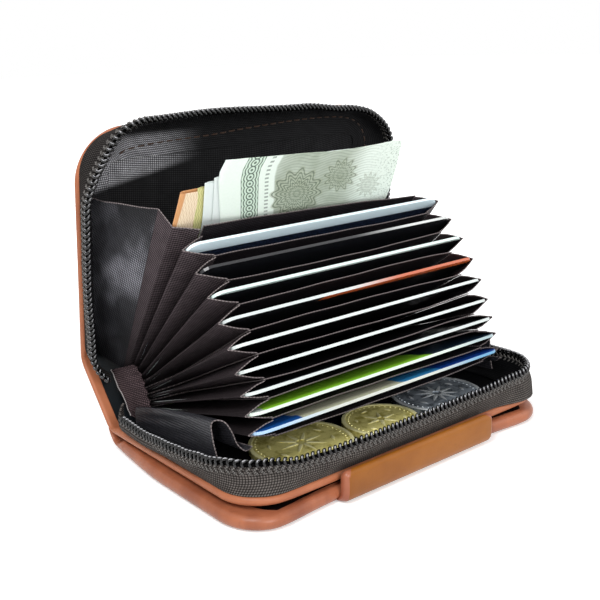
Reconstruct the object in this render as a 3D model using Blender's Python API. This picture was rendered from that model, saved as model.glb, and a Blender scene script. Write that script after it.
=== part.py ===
"""Slim zip wallet, standing open, with an accordion of card pockets.

Units are metres. X runs along the spine, -Y is the zipped front edge, +Z is up,
and the outside of the rear flap lies on Z = 0. Each leaf, panel and pocket hangs
on an empty that sits on its own fold line, turned from the closed position.
"""

import math

import bmesh
import bpy
from mathutils import Matrix, Vector

# The covers
SIDE_ROOM = 0.0076
LEAF_DEPTH = 0.0645
LEAF_CORNER = 0.012
FOLD_Y = 0.0205
BASE_LEATHER = 0.0022
LID_LEATHER = 0.0020
SPINE_LEATHER = 0.0014
SPINE_WIDTH = 0.0225
FOLD_REACH = 0.0030
FOLD_LEATHER = 0.0011
FLAP_FOLD_OUT = 0.0019
BOARD = 0.0006
BOARD_INSET = 0.0050
LINING = 0.00025
LINING_INSET = 0.0024
EDGE_ROUND = 0.0005

# The rear flap and its closing tab
FLAP_LEATHER = 0.0019
FLAP_INNER = 0.00185
FLAP_OVERHANG = 0.0006
FLAP_EDGE_ROUND = 0.0015
REAR_GAP = 0.0010
TAB_WIDTH = 0.0510
TAB_OFFSET = 0.0015
TAB_THICKNESS = 0.0027
TAB_TOP = 0.0085
TAB_LEG_LENGTH = 0.0200
TAB_LEG = 0.0010
TAB_LEG_INSET = 0.0008
TAB_BEND_REACH = 0.0018
TAB_BEND_RISE = 0.0022
TAB_PIVOT_Z = 0.0021
TAB_ROUND = 0.0009
MAGNET_LENGTH = 0.016
MAGNET_HEIGHT = 0.0012
MAGNET_DEPTH = 0.0008

# The zip
TAPE_INSET = 0.0011
TAPE_THICKNESS = 0.0005
TAPE_FLARE = 0.0024
COIL_WIDTH = 0.0022
COIL_HEIGHT = 0.0016
COIL_VALLEY = 0.0009
COIL_PITCH = 0.0018
ZIP_START_BASE = 0.0110
ZIP_START_LID = 0.0050
ZIP_END = 0.0120
SLIDER_LENGTH = 0.0076
SLIDER_WIDTH = 0.0080
SLIDER_THICKNESS = 0.0046
PULLER_LENGTH = 0.0210
PULLER_WIDTH = 0.0056
PULLER_THICKNESS = 0.0007

# The accordion
POCKETS = 9
POCKET_PITCH = 0.0013
DIVIDER = 0.00025
CARD_PROUD = 0.00118
MOUTH_INSET = 0.0058
FOLD_ROOM = 0.0011
WING_SEAM = 0.004
WING_TAPER = 0.012
GUSSET = 0.0002
ROOT_BEHIND = 0.0033
ROOT_HEIGHT = 0.0034
CARD_LENGTH = 0.0856
CARD_HEIGHT = 0.05398
CARD_THICKNESS = 0.00076
CARD_CORNER = 0.00318
CARD_SEAT = 0.0005
NOTES_HEIGHT = 0.0594
NOTES_THICKNESS = 0.0005
NOTES_RAISED = 0.0136
NOTES_ASIDE = 0.0100
COIN_THICKNESS = 0.0018
COIN_RIM = 0.0011
COIN_RELIEF = 0.0002
COIN_LARGE = 0.0135
COIN_SMALL = 0.0105
COIN_STEEL = 0.0130
COIN_SPACING = 0.0005
COIN_FRONT = 0.0025
COIN_ROW_X = 0.0010

# The pose of the photograph, in degrees from closed
SPINE_OPEN = 39.0
LID_OPEN = 43.0
DIVIDER_OPEN = (9.8, 12.8, 16.8, 20.2, 25.3, 30.2, 36.3, 41.8, 48.1, 54.2)

# Named clearances
GAP = 0.00015
SEAT = 0.0003
CLOSED_GAP = 0.0003

ARC_STEPS = 7
CREASE_WIDTH = CARD_LENGTH + 2 * FOLD_ROOM
DIVIDER_HEIGHT = CARD_HEIGHT - CARD_PROUD
DIVIDER_WIDTH = CARD_LENGTH - 2 * MOUTH_INSET
LEAF_LENGTH = CREASE_WIDTH + 2 * SIDE_ROOM
NOTES_WIDTH = DIVIDER_WIDTH - 2 * GUSSET - NOTES_ASIDE
FOLD_Z = FLAP_LEATHER + GAP + FLAP_INNER + REAR_GAP
HALF = LEAF_LENGTH / 2
WALL_BASE = BASE_LEATHER + SEAT
COIL_TOP = (SPINE_WIDTH - CLOSED_GAP) / 2
COIL_FOOT = COIL_TOP - COIL_HEIGHT
TAPE_TOP = COIL_FOOT - GAP
FRONT = FOLD_Y - LEAF_DEPTH


def material(name, colour, roughness, metallic=0.0):
    """Return a plain Principled material of a linear colour."""
    found = bpy.data.materials.new(name)
    found.use_nodes = True
    shader = found.node_tree.nodes["Principled BSDF"]
    shader.inputs["Base Color"].default_value = (*colour, 1.0)
    shader.inputs["Roughness"].default_value = roughness
    shader.inputs["Metallic"].default_value = metallic
    found.diffuse_color = (*colour, 1.0)
    return found


def axis(name, parent, location, opened=0.0):
    """Return an empty on a fold line, opened by so many degrees from closed."""
    empty = bpy.data.objects.new(name, None)
    bpy.context.scene.collection.objects.link(empty)
    empty.empty_display_size = 0.01
    empty.parent = parent
    empty.location = location
    empty.rotation_euler = (math.radians(-opened), 0.0, 0.0)
    return empty


def place(name, bm, parent, finish, smooth=30.0):
    """Turn a bmesh into one named object that hangs on its empty."""
    bmesh.ops.recalc_face_normals(bm, faces=bm.faces)
    mesh = bpy.data.meshes.new(name)
    bm.to_mesh(mesh)
    bm.free()
    mesh.shade_smooth()
    mesh.set_sharp_from_angle(angle=math.radians(smooth))
    obj = bpy.data.objects.new(name, mesh)
    bpy.context.scene.collection.objects.link(obj)
    obj.parent = parent
    mesh.materials.append(finish)
    return obj


def prism(outline, low, high, turn=None):
    """Extrude an outline of (x, y) points from one height to another."""
    bm = bmesh.new()
    corners = [bm.verts.new((x, y, low)) for x, y in outline]
    face = bm.faces.new(corners)
    grown = bmesh.ops.extrude_face_region(bm, geom=[face])
    moved = [item for item in grown["geom"] if isinstance(item, bmesh.types.BMVert)]
    bmesh.ops.translate(bm, vec=(0.0, 0.0, high - low), verts=moved)
    if turn:
        bmesh.ops.transform(bm, matrix=turn, verts=bm.verts)
    return bm


def across(profile, half_width, centre=0.0):
    """Extrude a profile of (y, z) points along X, both ways from a centre."""
    turn = Matrix(((0, 0, 1, centre), (1, 0, 0, 0), (0, 1, 0, 0), (0, 0, 0, 1)))
    return prism(profile, -half_width, half_width, turn)


def arc(centre, radius, start, end, steps):
    """Points of an arc between two angles in degrees, both ends included."""
    points = []
    for step in range(steps + 1):
        angle = math.radians(start + (end - start) * step / steps)
        x = centre[0] + radius * math.cos(angle)
        y = centre[1] + radius * math.sin(angle)
        points.append((x, y))
    return points


def rounded(width, low, high, radius, steps=4, rear=False, centre=0.0):
    """Outline of a panel with rounded front corners, and rear ones if asked."""
    half = width / 2
    points = arc((centre - half + radius, low + radius), radius, 180, 270, steps)
    points += arc((centre + half - radius, low + radius), radius, 270, 360, steps)
    if rear:
        points += arc((centre + half - radius, high - radius), radius, 0, 90, steps)
        points += arc((centre - half + radius, high - radius), radius, 90, 180, steps)
    else:
        points += [(centre + half, high), (centre - half, high)]
    return points


def bevel(obj, width, segments=2, angle=40.0):
    """Round the sharp edges of an object."""
    found = obj.modifiers.new("edge_round", "BEVEL")
    found.width = width
    found.segments = segments
    found.limit_method = "ANGLE"
    found.angle_limit = math.radians(angle)
    found.miter_outer = "MITER_SHARP"
    return found


def soften(bm, height, width, segments=3):
    """Round only the edges of a slab that lie in the plane at this height."""
    edges = [edge for edge in bm.edges if all(abs(v.co.z - height) < 1e-6 for v in edge.verts)]
    bmesh.ops.bevel(bm, geom=edges, offset=width, segments=segments, profile=0.5, affect="EDGES")
    return bm


def combine(obj, other, operation):
    """Cut a piece with a hidden cutter, or join a hidden shape to it."""
    found = obj.modifiers.new(operation.lower(), "BOOLEAN")
    found.operation = operation
    found.object = other
    found.solver = "EXACT"
    other.hide_render = True
    other.display_type = "WIRE"


def loft(stations):
    """Skin a row of closed sections, and cap both ends."""
    bm = bmesh.new()
    rings = [[bm.verts.new(point) for point in section] for section in stations]
    count = len(rings[0])
    for first, second in zip(rings, rings[1:]):
        for n in range(count):
            m = (n + 1) % count
            bm.faces.new((first[n], first[m], second[m], second[n]))
    bm.faces.new(rings[0])
    bm.faces.new(reversed(rings[-1]))
    return bm


class Rim:
    """The zip's line round three sides of a leaf, measured along its length."""

    def __init__(self, start, end):
        """Take how far from the fold the line starts on the left and ends on the right."""
        self.half = HALF - TAPE_INSET
        self.depth = LEAF_DEPTH - TAPE_INSET
        self.radius = LEAF_CORNER - TAPE_INSET
        self.start = start
        quarter = math.pi / 2 * self.radius
        self.runs = (
            self.depth - self.radius - start,
            quarter,
            2 * (self.half - self.radius),
            quarter,
            self.depth - self.radius - end,
        )
        self.length = sum(self.runs)

    def at(self, distance):
        """Return the point (x, y) and its outward direction at a distance."""
        left, turn, front, _, right = self.runs
        inner = self.half - self.radius
        bottom = -(self.depth - self.radius)
        if distance <= left:
            return (-self.half, -self.start - distance), (-1.0, 0.0)
        distance -= left
        if distance <= turn:
            angle = math.pi + distance / self.radius
            out = (math.cos(angle), math.sin(angle))
            centre = (-inner, bottom)
            return tuple(c + self.radius * o for c, o in zip(centre, out)), out
        distance -= turn
        if distance <= front:
            return (-inner + distance, -self.depth), (0.0, -1.0)
        distance -= front
        if distance <= turn:
            angle = 1.5 * math.pi + distance / self.radius
            out = (math.cos(angle), math.sin(angle))
            centre = (inner, bottom)
            return tuple(c + self.radius * o for c, o in zip(centre, out)), out
        distance = min(distance - turn, right)
        return (self.half, bottom + distance), (1.0, 0.0)

    def corners(self):
        """Return the distances where the line bends, arcs divided evenly."""
        marks = [0.0]
        for number, run in enumerate(self.runs):
            steps = ARC_STEPS if number in (1, 3) else 1
            begin = marks[-1]
            marks += [begin + run * step / steps for step in range(1, steps + 1)]
        return marks

    def section(self, distance, shape, side):
        """Place a shape of (outward, height) points at a distance."""
        (x, y), (out_x, out_y) = self.at(distance)
        return [(x + out_x * o, y + out_y * o, side * h) for o, h in shape]


def tape(name, rim, side, foot, parent, finish):
    """Model the woven tape wall, which leans outwards as it rises."""
    half = TAPE_THICKNESS / 2
    middle = (foot + TAPE_TOP) / 2
    bow = TAPE_FLARE * 0.68
    shape = [
        (-half, foot),
        (half, foot),
        (bow + half, middle),
        (TAPE_FLARE + half, TAPE_TOP),
        (TAPE_FLARE - half, TAPE_TOP),
        (bow - half, middle),
    ]
    bm = loft([rim.section(mark, shape, side) for mark in rim.corners()])
    return place(name, bm, parent, finish, 60)


def coil(name, rim, side, parent, finish):
    """Model the zip coil: a crest for every turn of the wire, a valley between."""
    turns = int(rim.length / COIL_PITCH)
    wide = COIL_WIDTH / 2
    stations = []
    for mark in range(2 * turns + 1):
        crest = mark % 2 == 1
        foot = wide if crest else wide * 0.72
        top = wide * 0.62 if crest else wide * 0.36
        height = COIL_TOP if crest else COIL_FOOT + COIL_VALLEY
        shape = [
            (TAPE_FLARE - foot, COIL_FOOT),
            (TAPE_FLARE + foot, COIL_FOOT),
            (TAPE_FLARE + top, height),
            (TAPE_FLARE - top, height),
        ]
        stations.append(rim.section(rim.length * mark / (2 * turns), shape, side))
    return place(name, loft(stations), parent, finish, 60)


def cover(name, parent, side, thickness, leather):
    """Model a leaf's leather with the shallow bed for its stiffening board."""
    outline = rounded(LEAF_LENGTH, -LEAF_DEPTH, -FOLD_REACH, LEAF_CORNER, ARC_STEPS)
    low, high = sorted((0.0, side * thickness))
    obj = place(name, prism(outline, low, high), parent, leather)
    bevel(obj, EDGE_ROUND)
    bed = side * (thickness - BOARD - 2 * GAP)
    over = side * (thickness + BOARD)
    cutter = place(name + "_bed", board_shape(0.0, *sorted((bed, over))), parent, leather)
    combine(obj, cutter, "DIFFERENCE")
    return obj


def board_shape(clear, low, high):
    """Return the outline of the board, or of its bed with no clearance, as a slab."""
    inset = BOARD_INSET + clear
    outline = rounded(
        LEAF_LENGTH - 2 * inset,
        -LEAF_DEPTH + inset,
        -FOLD_REACH - inset,
        LEAF_CORNER - BOARD_INSET,
        rear=True,
    )
    return prism(outline, low, high)


def board(name, parent, side, thickness, finish):
    """Model the stiffening board that lies in a leaf's bed."""
    low = side * (thickness - BOARD - GAP)
    high = side * (thickness - GAP)
    return place(name, board_shape(GAP, *sorted((low, high))), parent, finish)


def lining(name, parent, side, thickness, finish):
    """Model the lining panel that covers a leaf's board inside the zip tape."""
    outline = rounded(
        LEAF_LENGTH - 2 * LINING_INSET,
        -LEAF_DEPTH + LINING_INSET,
        -FOLD_REACH,
        LEAF_CORNER - LINING_INSET,
    )
    low = side * (thickness + GAP)
    high = side * (thickness + GAP + LINING)
    return place(name, prism(outline, *sorted((low, high))), parent, finish)


def bend(name, parent, route, finish, width=LEAF_LENGTH, centre=0.0):
    """Model a strip of leather that bends round a route of (y, z) points."""
    smooth = []
    for step in range(7):
        t = step / 6
        y = (1 - t) ** 2 * route[0][0] + 2 * t * (1 - t) * route[1][0] + t**2 * route[2][0]
        z = (1 - t) ** 2 * route[0][1] + 2 * t * (1 - t) * route[1][1] + t**2 * route[2][1]
        smooth.append(Vector((y, z)))
    inner = []
    for n, point in enumerate(smooth):
        along = (smooth[min(n + 1, 6)] - smooth[max(n - 1, 0)]).normalized()
        inner.append(point + Vector((-along.y, along.x)) * FOLD_LEATHER)
    profile = [tuple(p) for p in smooth] + [tuple(p) for p in reversed(inner)]
    return place(name, across(profile, width / 2, centre), parent, finish, 60)


def gusset(name, parent, sides, finish, turn=None):
    """Model one folded cloth that closes both ends of a pocket and its bottom.

    The rows of sides run from the pocket's bottom to its mouth. Each holds the
    (x, y, z) points of the right-hand fold, and the bottom strip joins its two
    middle points to their mirror images.
    """
    bm = bmesh.new()
    grids = []
    for mirror in (1, -1):
        rows = [[bm.verts.new((mirror * x, y, z)) for x, y, z in row] for row in sides]
        for first, second in zip(rows, rows[1:]):
            for n in range(len(first) - 1):
                bm.faces.new((first[n], first[n + 1], second[n + 1], second[n]))
        grids.append(rows[0])
    right, left = grids
    bm.faces.new((right[1], right[2], left[2], left[1]))
    if turn:
        bmesh.ops.transform(bm, matrix=turn, verts=bm.verts)
    obj = place(name, bm, parent, finish, 25)
    found = obj.modifiers.new("cloth", "SOLIDIFY")
    found.thickness = GUSSET
    found.offset = 0.0
    found.use_even_offset = True
    return obj


def pocket_rows(half_angle):
    """Return the rows of a card pocket's side fold, in the pocket's middle plane."""
    slope = math.tan(half_angle)
    outer = CREASE_WIDTH / 2 - GUSSET / 2
    card_end = CARD_LENGTH / 2 + SEAT + GUSSET
    tuck = DIVIDER / 2 + GAP + GUSSET / 2
    blunt = CARD_THICKNESS / 2 + GAP + GUSSET / 2
    clear = (blunt + tuck - POCKET_PITCH / 2) / slope
    rows = []
    halfway = (clear + DIVIDER_HEIGHT) / 2
    for reach in (GUSSET / 2, clear, clear + WING_SEAM, halfway, DIVIDER_HEIGHT):
        room = POCKET_PITCH / 2 + reach * slope
        crease = min(room - tuck + GAP, blunt)
        inside = reach > clear + WING_SEAM / 4
        x = DIVIDER_WIDTH / 2 - 2 * SEAT if inside else card_end
        z = room - tuck if inside else crease
        rows.append([(x, -reach, -z), (outer, -reach, -crease), (outer, -reach, crease), (x, -reach, z)])
    return rows


def divider_half(reach):
    """Return half a divider's width: full at the seam, narrower up its folds."""
    wing = CARD_LENGTH / 2 + GAP
    share = min(max((reach - WING_SEAM) / WING_TAPER, 0.0), 1.0)
    return wing + (DIVIDER_WIDTH / 2 - wing) * share


def divider_outline():
    """Return a divider's outline, from its seam up to its mouth."""
    marks = (-0.0002, WING_SEAM, WING_SEAM + WING_TAPER, DIVIDER_HEIGHT)
    right = [(divider_half(mark), -mark) for mark in marks]
    left = [(-x, y) for x, y in reversed(right)]
    return left + right


def coin(name, parent, place_at, radius, finish):
    """Model a plain coin blank with its raised rim."""
    bm = prism(arc((0.0, 0.0), radius, 0, 360 - 360 / 28, 27), 0.0, COIN_THICKNESS)
    bm.faces.ensure_lookup_table()
    top = max(bm.faces, key=lambda face: face.calc_center_median().z)
    bmesh.ops.inset_region(bm, faces=[top], thickness=COIN_RIM, depth=-COIN_RELIEF)
    obj = place(name, bm, parent, finish)
    obj.location = place_at
    return obj


for old in list(bpy.data.objects):
    bpy.data.objects.remove(old, do_unlink=True)

LEATHER = material("tan_leather", (0.48, 0.20, 0.09), 0.55)
FLAP_HIDE = material("flap_leather", (0.46, 0.20, 0.11), 0.55)
TAB_HIDE = material("tab_leather", (0.38, 0.16, 0.055), 0.5)
CARDBOARD = material("grey_board", (0.30, 0.29, 0.27), 0.85)
NYLON = material("lining_nylon", (0.018, 0.015, 0.016), 0.7)
PLEAT = material("pocket_nylon", (0.024, 0.019, 0.018), 0.65)
WOVEN = material("zip_tape", (0.055, 0.052, 0.048), 0.8)
COIL = material("zip_coil", (0.010, 0.010, 0.011), 0.25)
STEEL = material("blackened_steel", (0.08, 0.08, 0.085), 0.3, 1.0)
MAGNET = material("magnet", (0.30, 0.30, 0.31), 0.35, 1.0)
BRASS = material("coin_brass", (0.42, 0.31, 0.11), 0.4, 1.0)
NICKEL = material("coin_nickel", (0.30, 0.30, 0.30), 0.35, 1.0)
PAPER = material("note_paper", (0.42, 0.46, 0.34), 0.8)

# The rear flap lies on the table and carries everything else.
root = axis("axis_rear_flap", None, (0.0, 0.0, 0.0))
flap_front = FRONT - FLAP_OVERHANG
flap_rear = FOLD_Y - FOLD_REACH
flap_line = rounded(LEAF_LENGTH, flap_front, flap_rear, LEAF_CORNER, ARC_STEPS)
slab = soften(prism(flap_line, 0.0, FLAP_LEATHER), 0.0, FLAP_EDGE_ROUND)
flap = place("flap_outer_leather", slab, root, FLAP_HIDE, 60)
leg_rear = flap_front + TAB_LEG_LENGTH
leg_front = flap_front + TAB_LEG_INSET
leg_outline = rounded(TAB_WIDTH, leg_front, leg_rear, SEAT, 2, True, TAB_OFFSET)
bed_front = flap_front - TAB_LEG_LENGTH / 4
leg_bed = rounded(TAB_WIDTH + 2 * SEAT, bed_front, leg_rear + SEAT, 2 * SEAT, 2, True, TAB_OFFSET)
bed = place("tab_leg_bed", prism(leg_bed, -FLAP_LEATHER, TAB_LEG + SEAT), root, FLAP_HIDE)
combine(flap, bed, "DIFFERENCE")
inner_low = FLAP_LEATHER + GAP
inner_top = inner_low + FLAP_INNER
slab = soften(prism(flap_line, inner_low, inner_top), inner_top, FLAP_EDGE_ROUND)
place("flap_inner_leather", slab, root, FLAP_HIDE, 60)
place("tab_sewn_leg", prism(leg_outline, 0.0, TAB_LEG), root, TAB_HIDE)

# The tab bends up round the front and is held to the base by a hidden magnet.
tab_rear = flap_front - SEAT
tab_middle = tab_rear - TAB_THICKNESS / 2
curl = tab_rear - TAB_BEND_REACH
route = ((curl, TAB_BEND_RISE), (curl, 0.0), (flap_front + TAB_LEG_INSET / 2, 0.0))
bend("tab_bend", root, route, TAB_HIDE, TAB_WIDTH, TAB_OFFSET)
axis_tab = axis("axis_tab", root, (TAB_OFFSET, tab_middle, TAB_PIVOT_Z))
strap = [
    (-TAB_THICKNESS / 2, SEAT),
    (TAB_THICKNESS / 2, SEAT),
    (TAB_THICKNESS / 2, TAB_TOP - TAB_PIVOT_Z),
    (-TAB_THICKNESS / 2, TAB_TOP - TAB_PIVOT_Z),
]
tab = place("closing_tab", across(strap, TAB_WIDTH / 2), axis_tab, TAB_HIDE)
bevel(tab, TAB_ROUND, 3)
magnet_z = FOLD_Z + BASE_LEATHER / 2
magnet_low = magnet_z - TAB_PIVOT_Z - MAGNET_HEIGHT / 2


def bar(low, high, foot, clear):
    """Return the slab of a magnet or its slot between two depths."""
    reach = MAGNET_LENGTH / 2 + clear
    outline = [(-reach, low), (reach, low), (reach, high), (-reach, high)]
    return prism(outline, foot - clear, foot + MAGNET_HEIGHT + clear)


back = TAB_THICKNESS / 2
slot = place("tab_magnet_slot", bar(back - MAGNET_DEPTH - GAP, back + 0.002, magnet_low, GAP), axis_tab, STEEL)
combine(tab, slot, "DIFFERENCE")
place("tab_magnet", bar(back - MAGNET_DEPTH, back - 0.0001, magnet_low, 0.0), axis_tab, MAGNET)

# The base leaf turns up from the flap about the lower fold line.
axis_base = axis("axis_base", root, (0.0, FOLD_Y, FOLD_Z))
base = cover("base_leather", axis_base, 1, BASE_LEATHER, LEATHER)
keeper_low = (BASE_LEATHER - MAGNET_HEIGHT) / 2
edge = -LEAF_DEPTH
keeper_slot = bar(edge - 0.002, edge + MAGNET_DEPTH + GAP, keeper_low, GAP)
slot = place("base_keeper_slot", keeper_slot, axis_base, STEEL)
slot.location.x = TAB_OFFSET
combine(base, slot, "DIFFERENCE")
keeper = place("base_keeper", bar(edge + 0.0001, edge + MAGNET_DEPTH, keeper_low, 0.0), axis_base, STEEL)
keeper.location.x = TAB_OFFSET
board("base_board", axis_base, 1, BASE_LEATHER, CARDBOARD)
lining("base_lining", axis_base, 1, BASE_LEATHER, NYLON)
base_rim = Rim(ZIP_START_BASE, ZIP_END)
tape("base_zip_tape", base_rim, 1, WALL_BASE, axis_base, WOVEN)
coil("base_zip_coil", base_rim, 1, axis_base, COIL)

# The spine panel, then the lid, each opened from its closed position.
axis_spine = axis("axis_spine", axis_base, (0.0, 0.0, 0.0), SPINE_OPEN)
span = [
    (-SPINE_LEATHER, FOLD_REACH),
    (0.0, FOLD_REACH),
    (0.0, SPINE_WIDTH - FOLD_REACH),
    (-SPINE_LEATHER, SPINE_WIDTH - FOLD_REACH),
]
spine = place("spine_leather", across(span, HALF), axis_spine, LEATHER)
bevel(spine, EDGE_ROUND)
low, high = -SPINE_LEATHER - GAP - LINING, -SPINE_LEATHER - GAP
reach = (FOLD_REACH, SPINE_WIDTH - FOLD_REACH)
span = [(low, reach[0]), (high, reach[0]), (high, reach[1]), (low, reach[1])]
place("spine_lining", across(span, HALF - LINING_INSET / 2), axis_spine, NYLON)
axis_lid = axis("axis_lid", axis_spine, (0.0, 0.0, SPINE_WIDTH), LID_OPEN)
cover("lid_leather", axis_lid, -1, LID_LEATHER, LEATHER)
board("lid_board", axis_lid, -1, LID_LEATHER, CARDBOARD)
lining("lid_lining", axis_lid, -1, LID_LEATHER, NYLON)
lid_rim = Rim(ZIP_START_LID, ZIP_END)
tape("lid_zip_tape", lid_rim, -1, LID_LEATHER + SEAT, axis_lid, WOVEN)
coil("lid_zip_coil", lid_rim, -1, axis_lid, COIL)

# Leather bends at the two folds and at the flap, all drawn in their own frames.
spine_turn = math.radians(90.0 - SPINE_OPEN)
lid_turn = math.radians(180.0 - SPINE_OPEN - LID_OPEN)
bare = FOLD_REACH - GAP
up_spine = (math.cos(spine_turn) * bare, math.sin(spine_turn) * bare)
bend("base_fold_leather", axis_base, ((-bare, 0.0), (0.0, 0.0), up_spine), LEATHER)
lid_way = math.radians(90.0 + LID_OPEN)
top = SPINE_WIDTH
ends = ((0.0, top - bare), (0.0, top), (math.cos(lid_way) * bare, top + math.sin(lid_way) * bare))
bend("lid_fold_leather", axis_spine, ends, LEATHER)
flap_middle = (FLAP_LEATHER + GAP + FLAP_INNER - FOLD_LEATHER) / 2
out = FOLD_Y + FOLD_REACH
flap_end = (FOLD_Y + FLAP_FOLD_OUT, FOLD_Z + LINING)
bend("flap_fold_leather", root, ((flap_rear + GAP, flap_middle), (out, flap_middle), flap_end), FLAP_HIDE)

# The dividers stack upwards from the base, each on the seam of the one below.
axes = []
parent = axis_base
place_at = (0.0, -ROOT_BEHIND, ROOT_HEIGHT)
opened = 0.0
for angle in DIVIDER_OPEN:
    number = POCKETS + 1 - len(axes)
    joint = axis(f"axis_divider_{number:02d}", parent, place_at, angle - opened)
    bm = prism(divider_outline(), -DIVIDER / 2, DIVIDER / 2)
    place(f"divider_{number:02d}", bm, joint, PLEAT)
    axes.append(joint)
    parent = joint
    place_at = (0.0, 0.0, POCKET_PITCH)
    opened = angle

# Between them lie the cards, each in the middle of its pocket, and the side folds.
for n in range(POCKETS):
    number = POCKETS - n
    spread = DIVIDER_OPEN[n + 1] - DIVIDER_OPEN[n]
    seat = axis(f"axis_card_{number}", axes[n], (0.0, 0.0, POCKET_PITCH / 2), spread / 2)
    outline = rounded(CARD_LENGTH, -CARD_HEIGHT - CARD_SEAT, -CARD_SEAT, CARD_CORNER, 4, True)
    shade = material(f"card_{number}_plastic", (0.75, 0.77, 0.78), 0.35)
    place(f"card_{number}", prism(outline, -CARD_THICKNESS / 2, CARD_THICKNESS / 2), seat, shade)
    rows = pocket_rows(math.radians(spread / 2))
    turn = Matrix.Translation((0.0, 0.0, POCKET_PITCH / 2))
    turn = turn @ Matrix.Rotation(math.radians(-spread / 2), 4, "X")
    gusset(f"pocket_gusset_{number}", axes[n], rows, PLEAT, turn)

# The coin tray's side folds stand on the base lining, outside the coins.
floor = BASE_LEATHER + GAP + LINING + GAP + GUSSET / 2
lift = math.tan(math.radians(DIVIDER_OPEN[0]))
rows = []
for share in (0.04, 0.19, 0.53, 0.95):
    reach = share * DIVIDER_HEIGHT
    top = ROOT_HEIGHT + reach * lift - DIVIDER / 2 - GAP - GUSSET
    rise = top - floor
    inner = DIVIDER_WIDTH / 2 - 2 * SEAT if reach > WING_SEAM else CARD_LENGTH / 2
    y = -ROOT_BEHIND - reach
    rows.append(
        [
            (inner, y, top),
            (CREASE_WIDTH / 2 + 2 * SEAT, y, floor + rise * 0.80),
            (CREASE_WIDTH / 2 - 10 * SEAT, y, floor + rise * 0.38),
            (CREASE_WIDTH / 2 + 5 * SEAT, y, floor),
        ]
    )
gusset("coin_gusset", axis_base, rows, PLEAT)

# The note compartment's side folds run from the top divider back to the lid.
first = math.radians(DIVIDER_OPEN[-1])
seam_y, seam_z = -ROOT_BEHIND, ROOT_HEIGHT
for angle in DIVIDER_OPEN[:-1]:
    seam_y += POCKET_PITCH * math.sin(math.radians(angle))
    seam_z += POCKET_PITCH * math.cos(math.radians(angle))
lid_y = SPINE_WIDTH * math.cos(spine_turn)
lid_z = SPINE_WIDTH * math.sin(spine_turn)
inward = LID_LEATHER + 2 * GAP + LINING + GUSSET / 2
rows = []
for reach in (WING_SEAM, WING_SEAM + WING_TAPER, 0.64 * DIVIDER_HEIGHT, 0.95 * DIVIDER_HEIGHT):
    share = reach / (0.95 * DIVIDER_HEIGHT)
    along_y, along_z = -math.cos(first), math.sin(first)
    off_y, off_z = math.sin(first), math.cos(first)
    row = []
    for x, off in (
        (divider_half(reach) + GAP + GUSSET / 2, 0.0),
        (CREASE_WIDTH / 2, POCKET_PITCH * (0.6 + 1.2 * share)),
        (CREASE_WIDTH / 2 + 2 * GUSSET, POCKET_PITCH * (1.4 + 5.1 * share)),
    ):
        y = seam_y + along_y * reach + off_y * off
        z = seam_z + along_z * reach + off_z * off
        row.append((x, y, z))
    run = LEAF_DEPTH * 0.08 + (row[2][2] - lid_z) * 0.92
    run = max(run, WING_SEAM)
    y = lid_y + math.cos(lid_turn) * run - math.sin(lid_turn) * inward
    z = lid_z + math.sin(lid_turn) * run + math.cos(lid_turn) * inward
    row.append((HALF - LINING_INSET - 5 * SEAT, y, z))
    rows.append(row)
gusset("note_gusset", axis_base, rows, PLEAT)

# What the photograph shows inside: a folded bundle of notes and loose coins.
outline = rounded(NOTES_WIDTH, -NOTES_HEIGHT, 0.0, 0.0006, 2, True, -NOTES_ASIDE / 2)
rest = DIVIDER / 2 + GAP
bundle = place("note_bundle", prism(outline, rest, rest + NOTES_THICKNESS), axes[-1], PAPER)
bundle.location = (0.0, -CARD_SEAT - NOTES_RAISED, 0.0)
on_lining = BASE_LEATHER + 2 * GAP + LINING
left = COIN_ROW_X - COIN_SMALL - COIN_SPACING - COIN_LARGE
right = COIN_ROW_X + COIN_SMALL + COIN_SPACING + COIN_STEEL
row_front = COIN_FRONT - LEAF_DEPTH
coin("coin_large", axis_base, (left, row_front + COIN_LARGE, on_lining), COIN_LARGE, BRASS)
coin("coin_small", axis_base, (COIN_ROW_X, row_front + COIN_SMALL, on_lining), COIN_SMALL, BRASS)
coin("coin_steel", axis_base, (right, row_front + COIN_STEEL, on_lining), COIN_STEEL, NICKEL)

# The slider waits at the right-hand end, with its plates facing outwards.
slider_seat = axis("axis_slider", axis_base, (0.0, 0.0, 0.0))
inner_plate = HALF - TAPE_INSET + TAPE_FLARE - SLIDER_THICKNESS / 2
middle_y = -ZIP_END + SEAT + SLIDER_LENGTH / 2
slider_seat.matrix_local = Matrix(
    ((0, 0, 1, inner_plate), (1, 0, 0, middle_y), (0, 1, 0, COIL_TOP + CLOSED_GAP / 2), (0, 0, 0, 1))
)
half_l, half_w = SLIDER_LENGTH / 2, SLIDER_WIDTH / 2
shield = [
    (-half_l, -0.72 * half_w),
    (0.35 * half_l, -half_w),
    (half_l, -0.75 * half_w),
    (half_l, 0.75 * half_w),
    (0.35 * half_l, half_w),
    (-half_l, 0.72 * half_w),
]
slider = place("zip_slider", prism(shield, 0.0, SLIDER_THICKNESS), slider_seat, STEEL)
plate = (SLIDER_THICKNESS - COIL_WIDTH) / 2 - GAP
wide = 2 * half_w
throat = [
    (-wide, -wide),
    (wide, -wide),
    (wide, -0.0010),
    (0.0012, -0.0010),
    (0.0004, 0.0),
    (0.0012, 0.0010),
    (wide, 0.0010),
    (wide, wide),
    (-wide, wide),
]
cut = place("slider_throat", prism(throat, plate, SLIDER_THICKNESS - plate), slider_seat, STEEL)
combine(slider, cut, "DIFFERENCE")
pin_z = SLIDER_THICKNESS + 0.0006
lug = [
    (-0.0023, -0.0004),
    (-0.0023, 0.0019),
    (0.0023, 0.0019),
    (0.0023, -0.0004),
    (0.0015, -0.0004),
    (0.0015, 0.0012),
    (-0.0015, 0.0012),
    (-0.0015, -0.0004),
]
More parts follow.
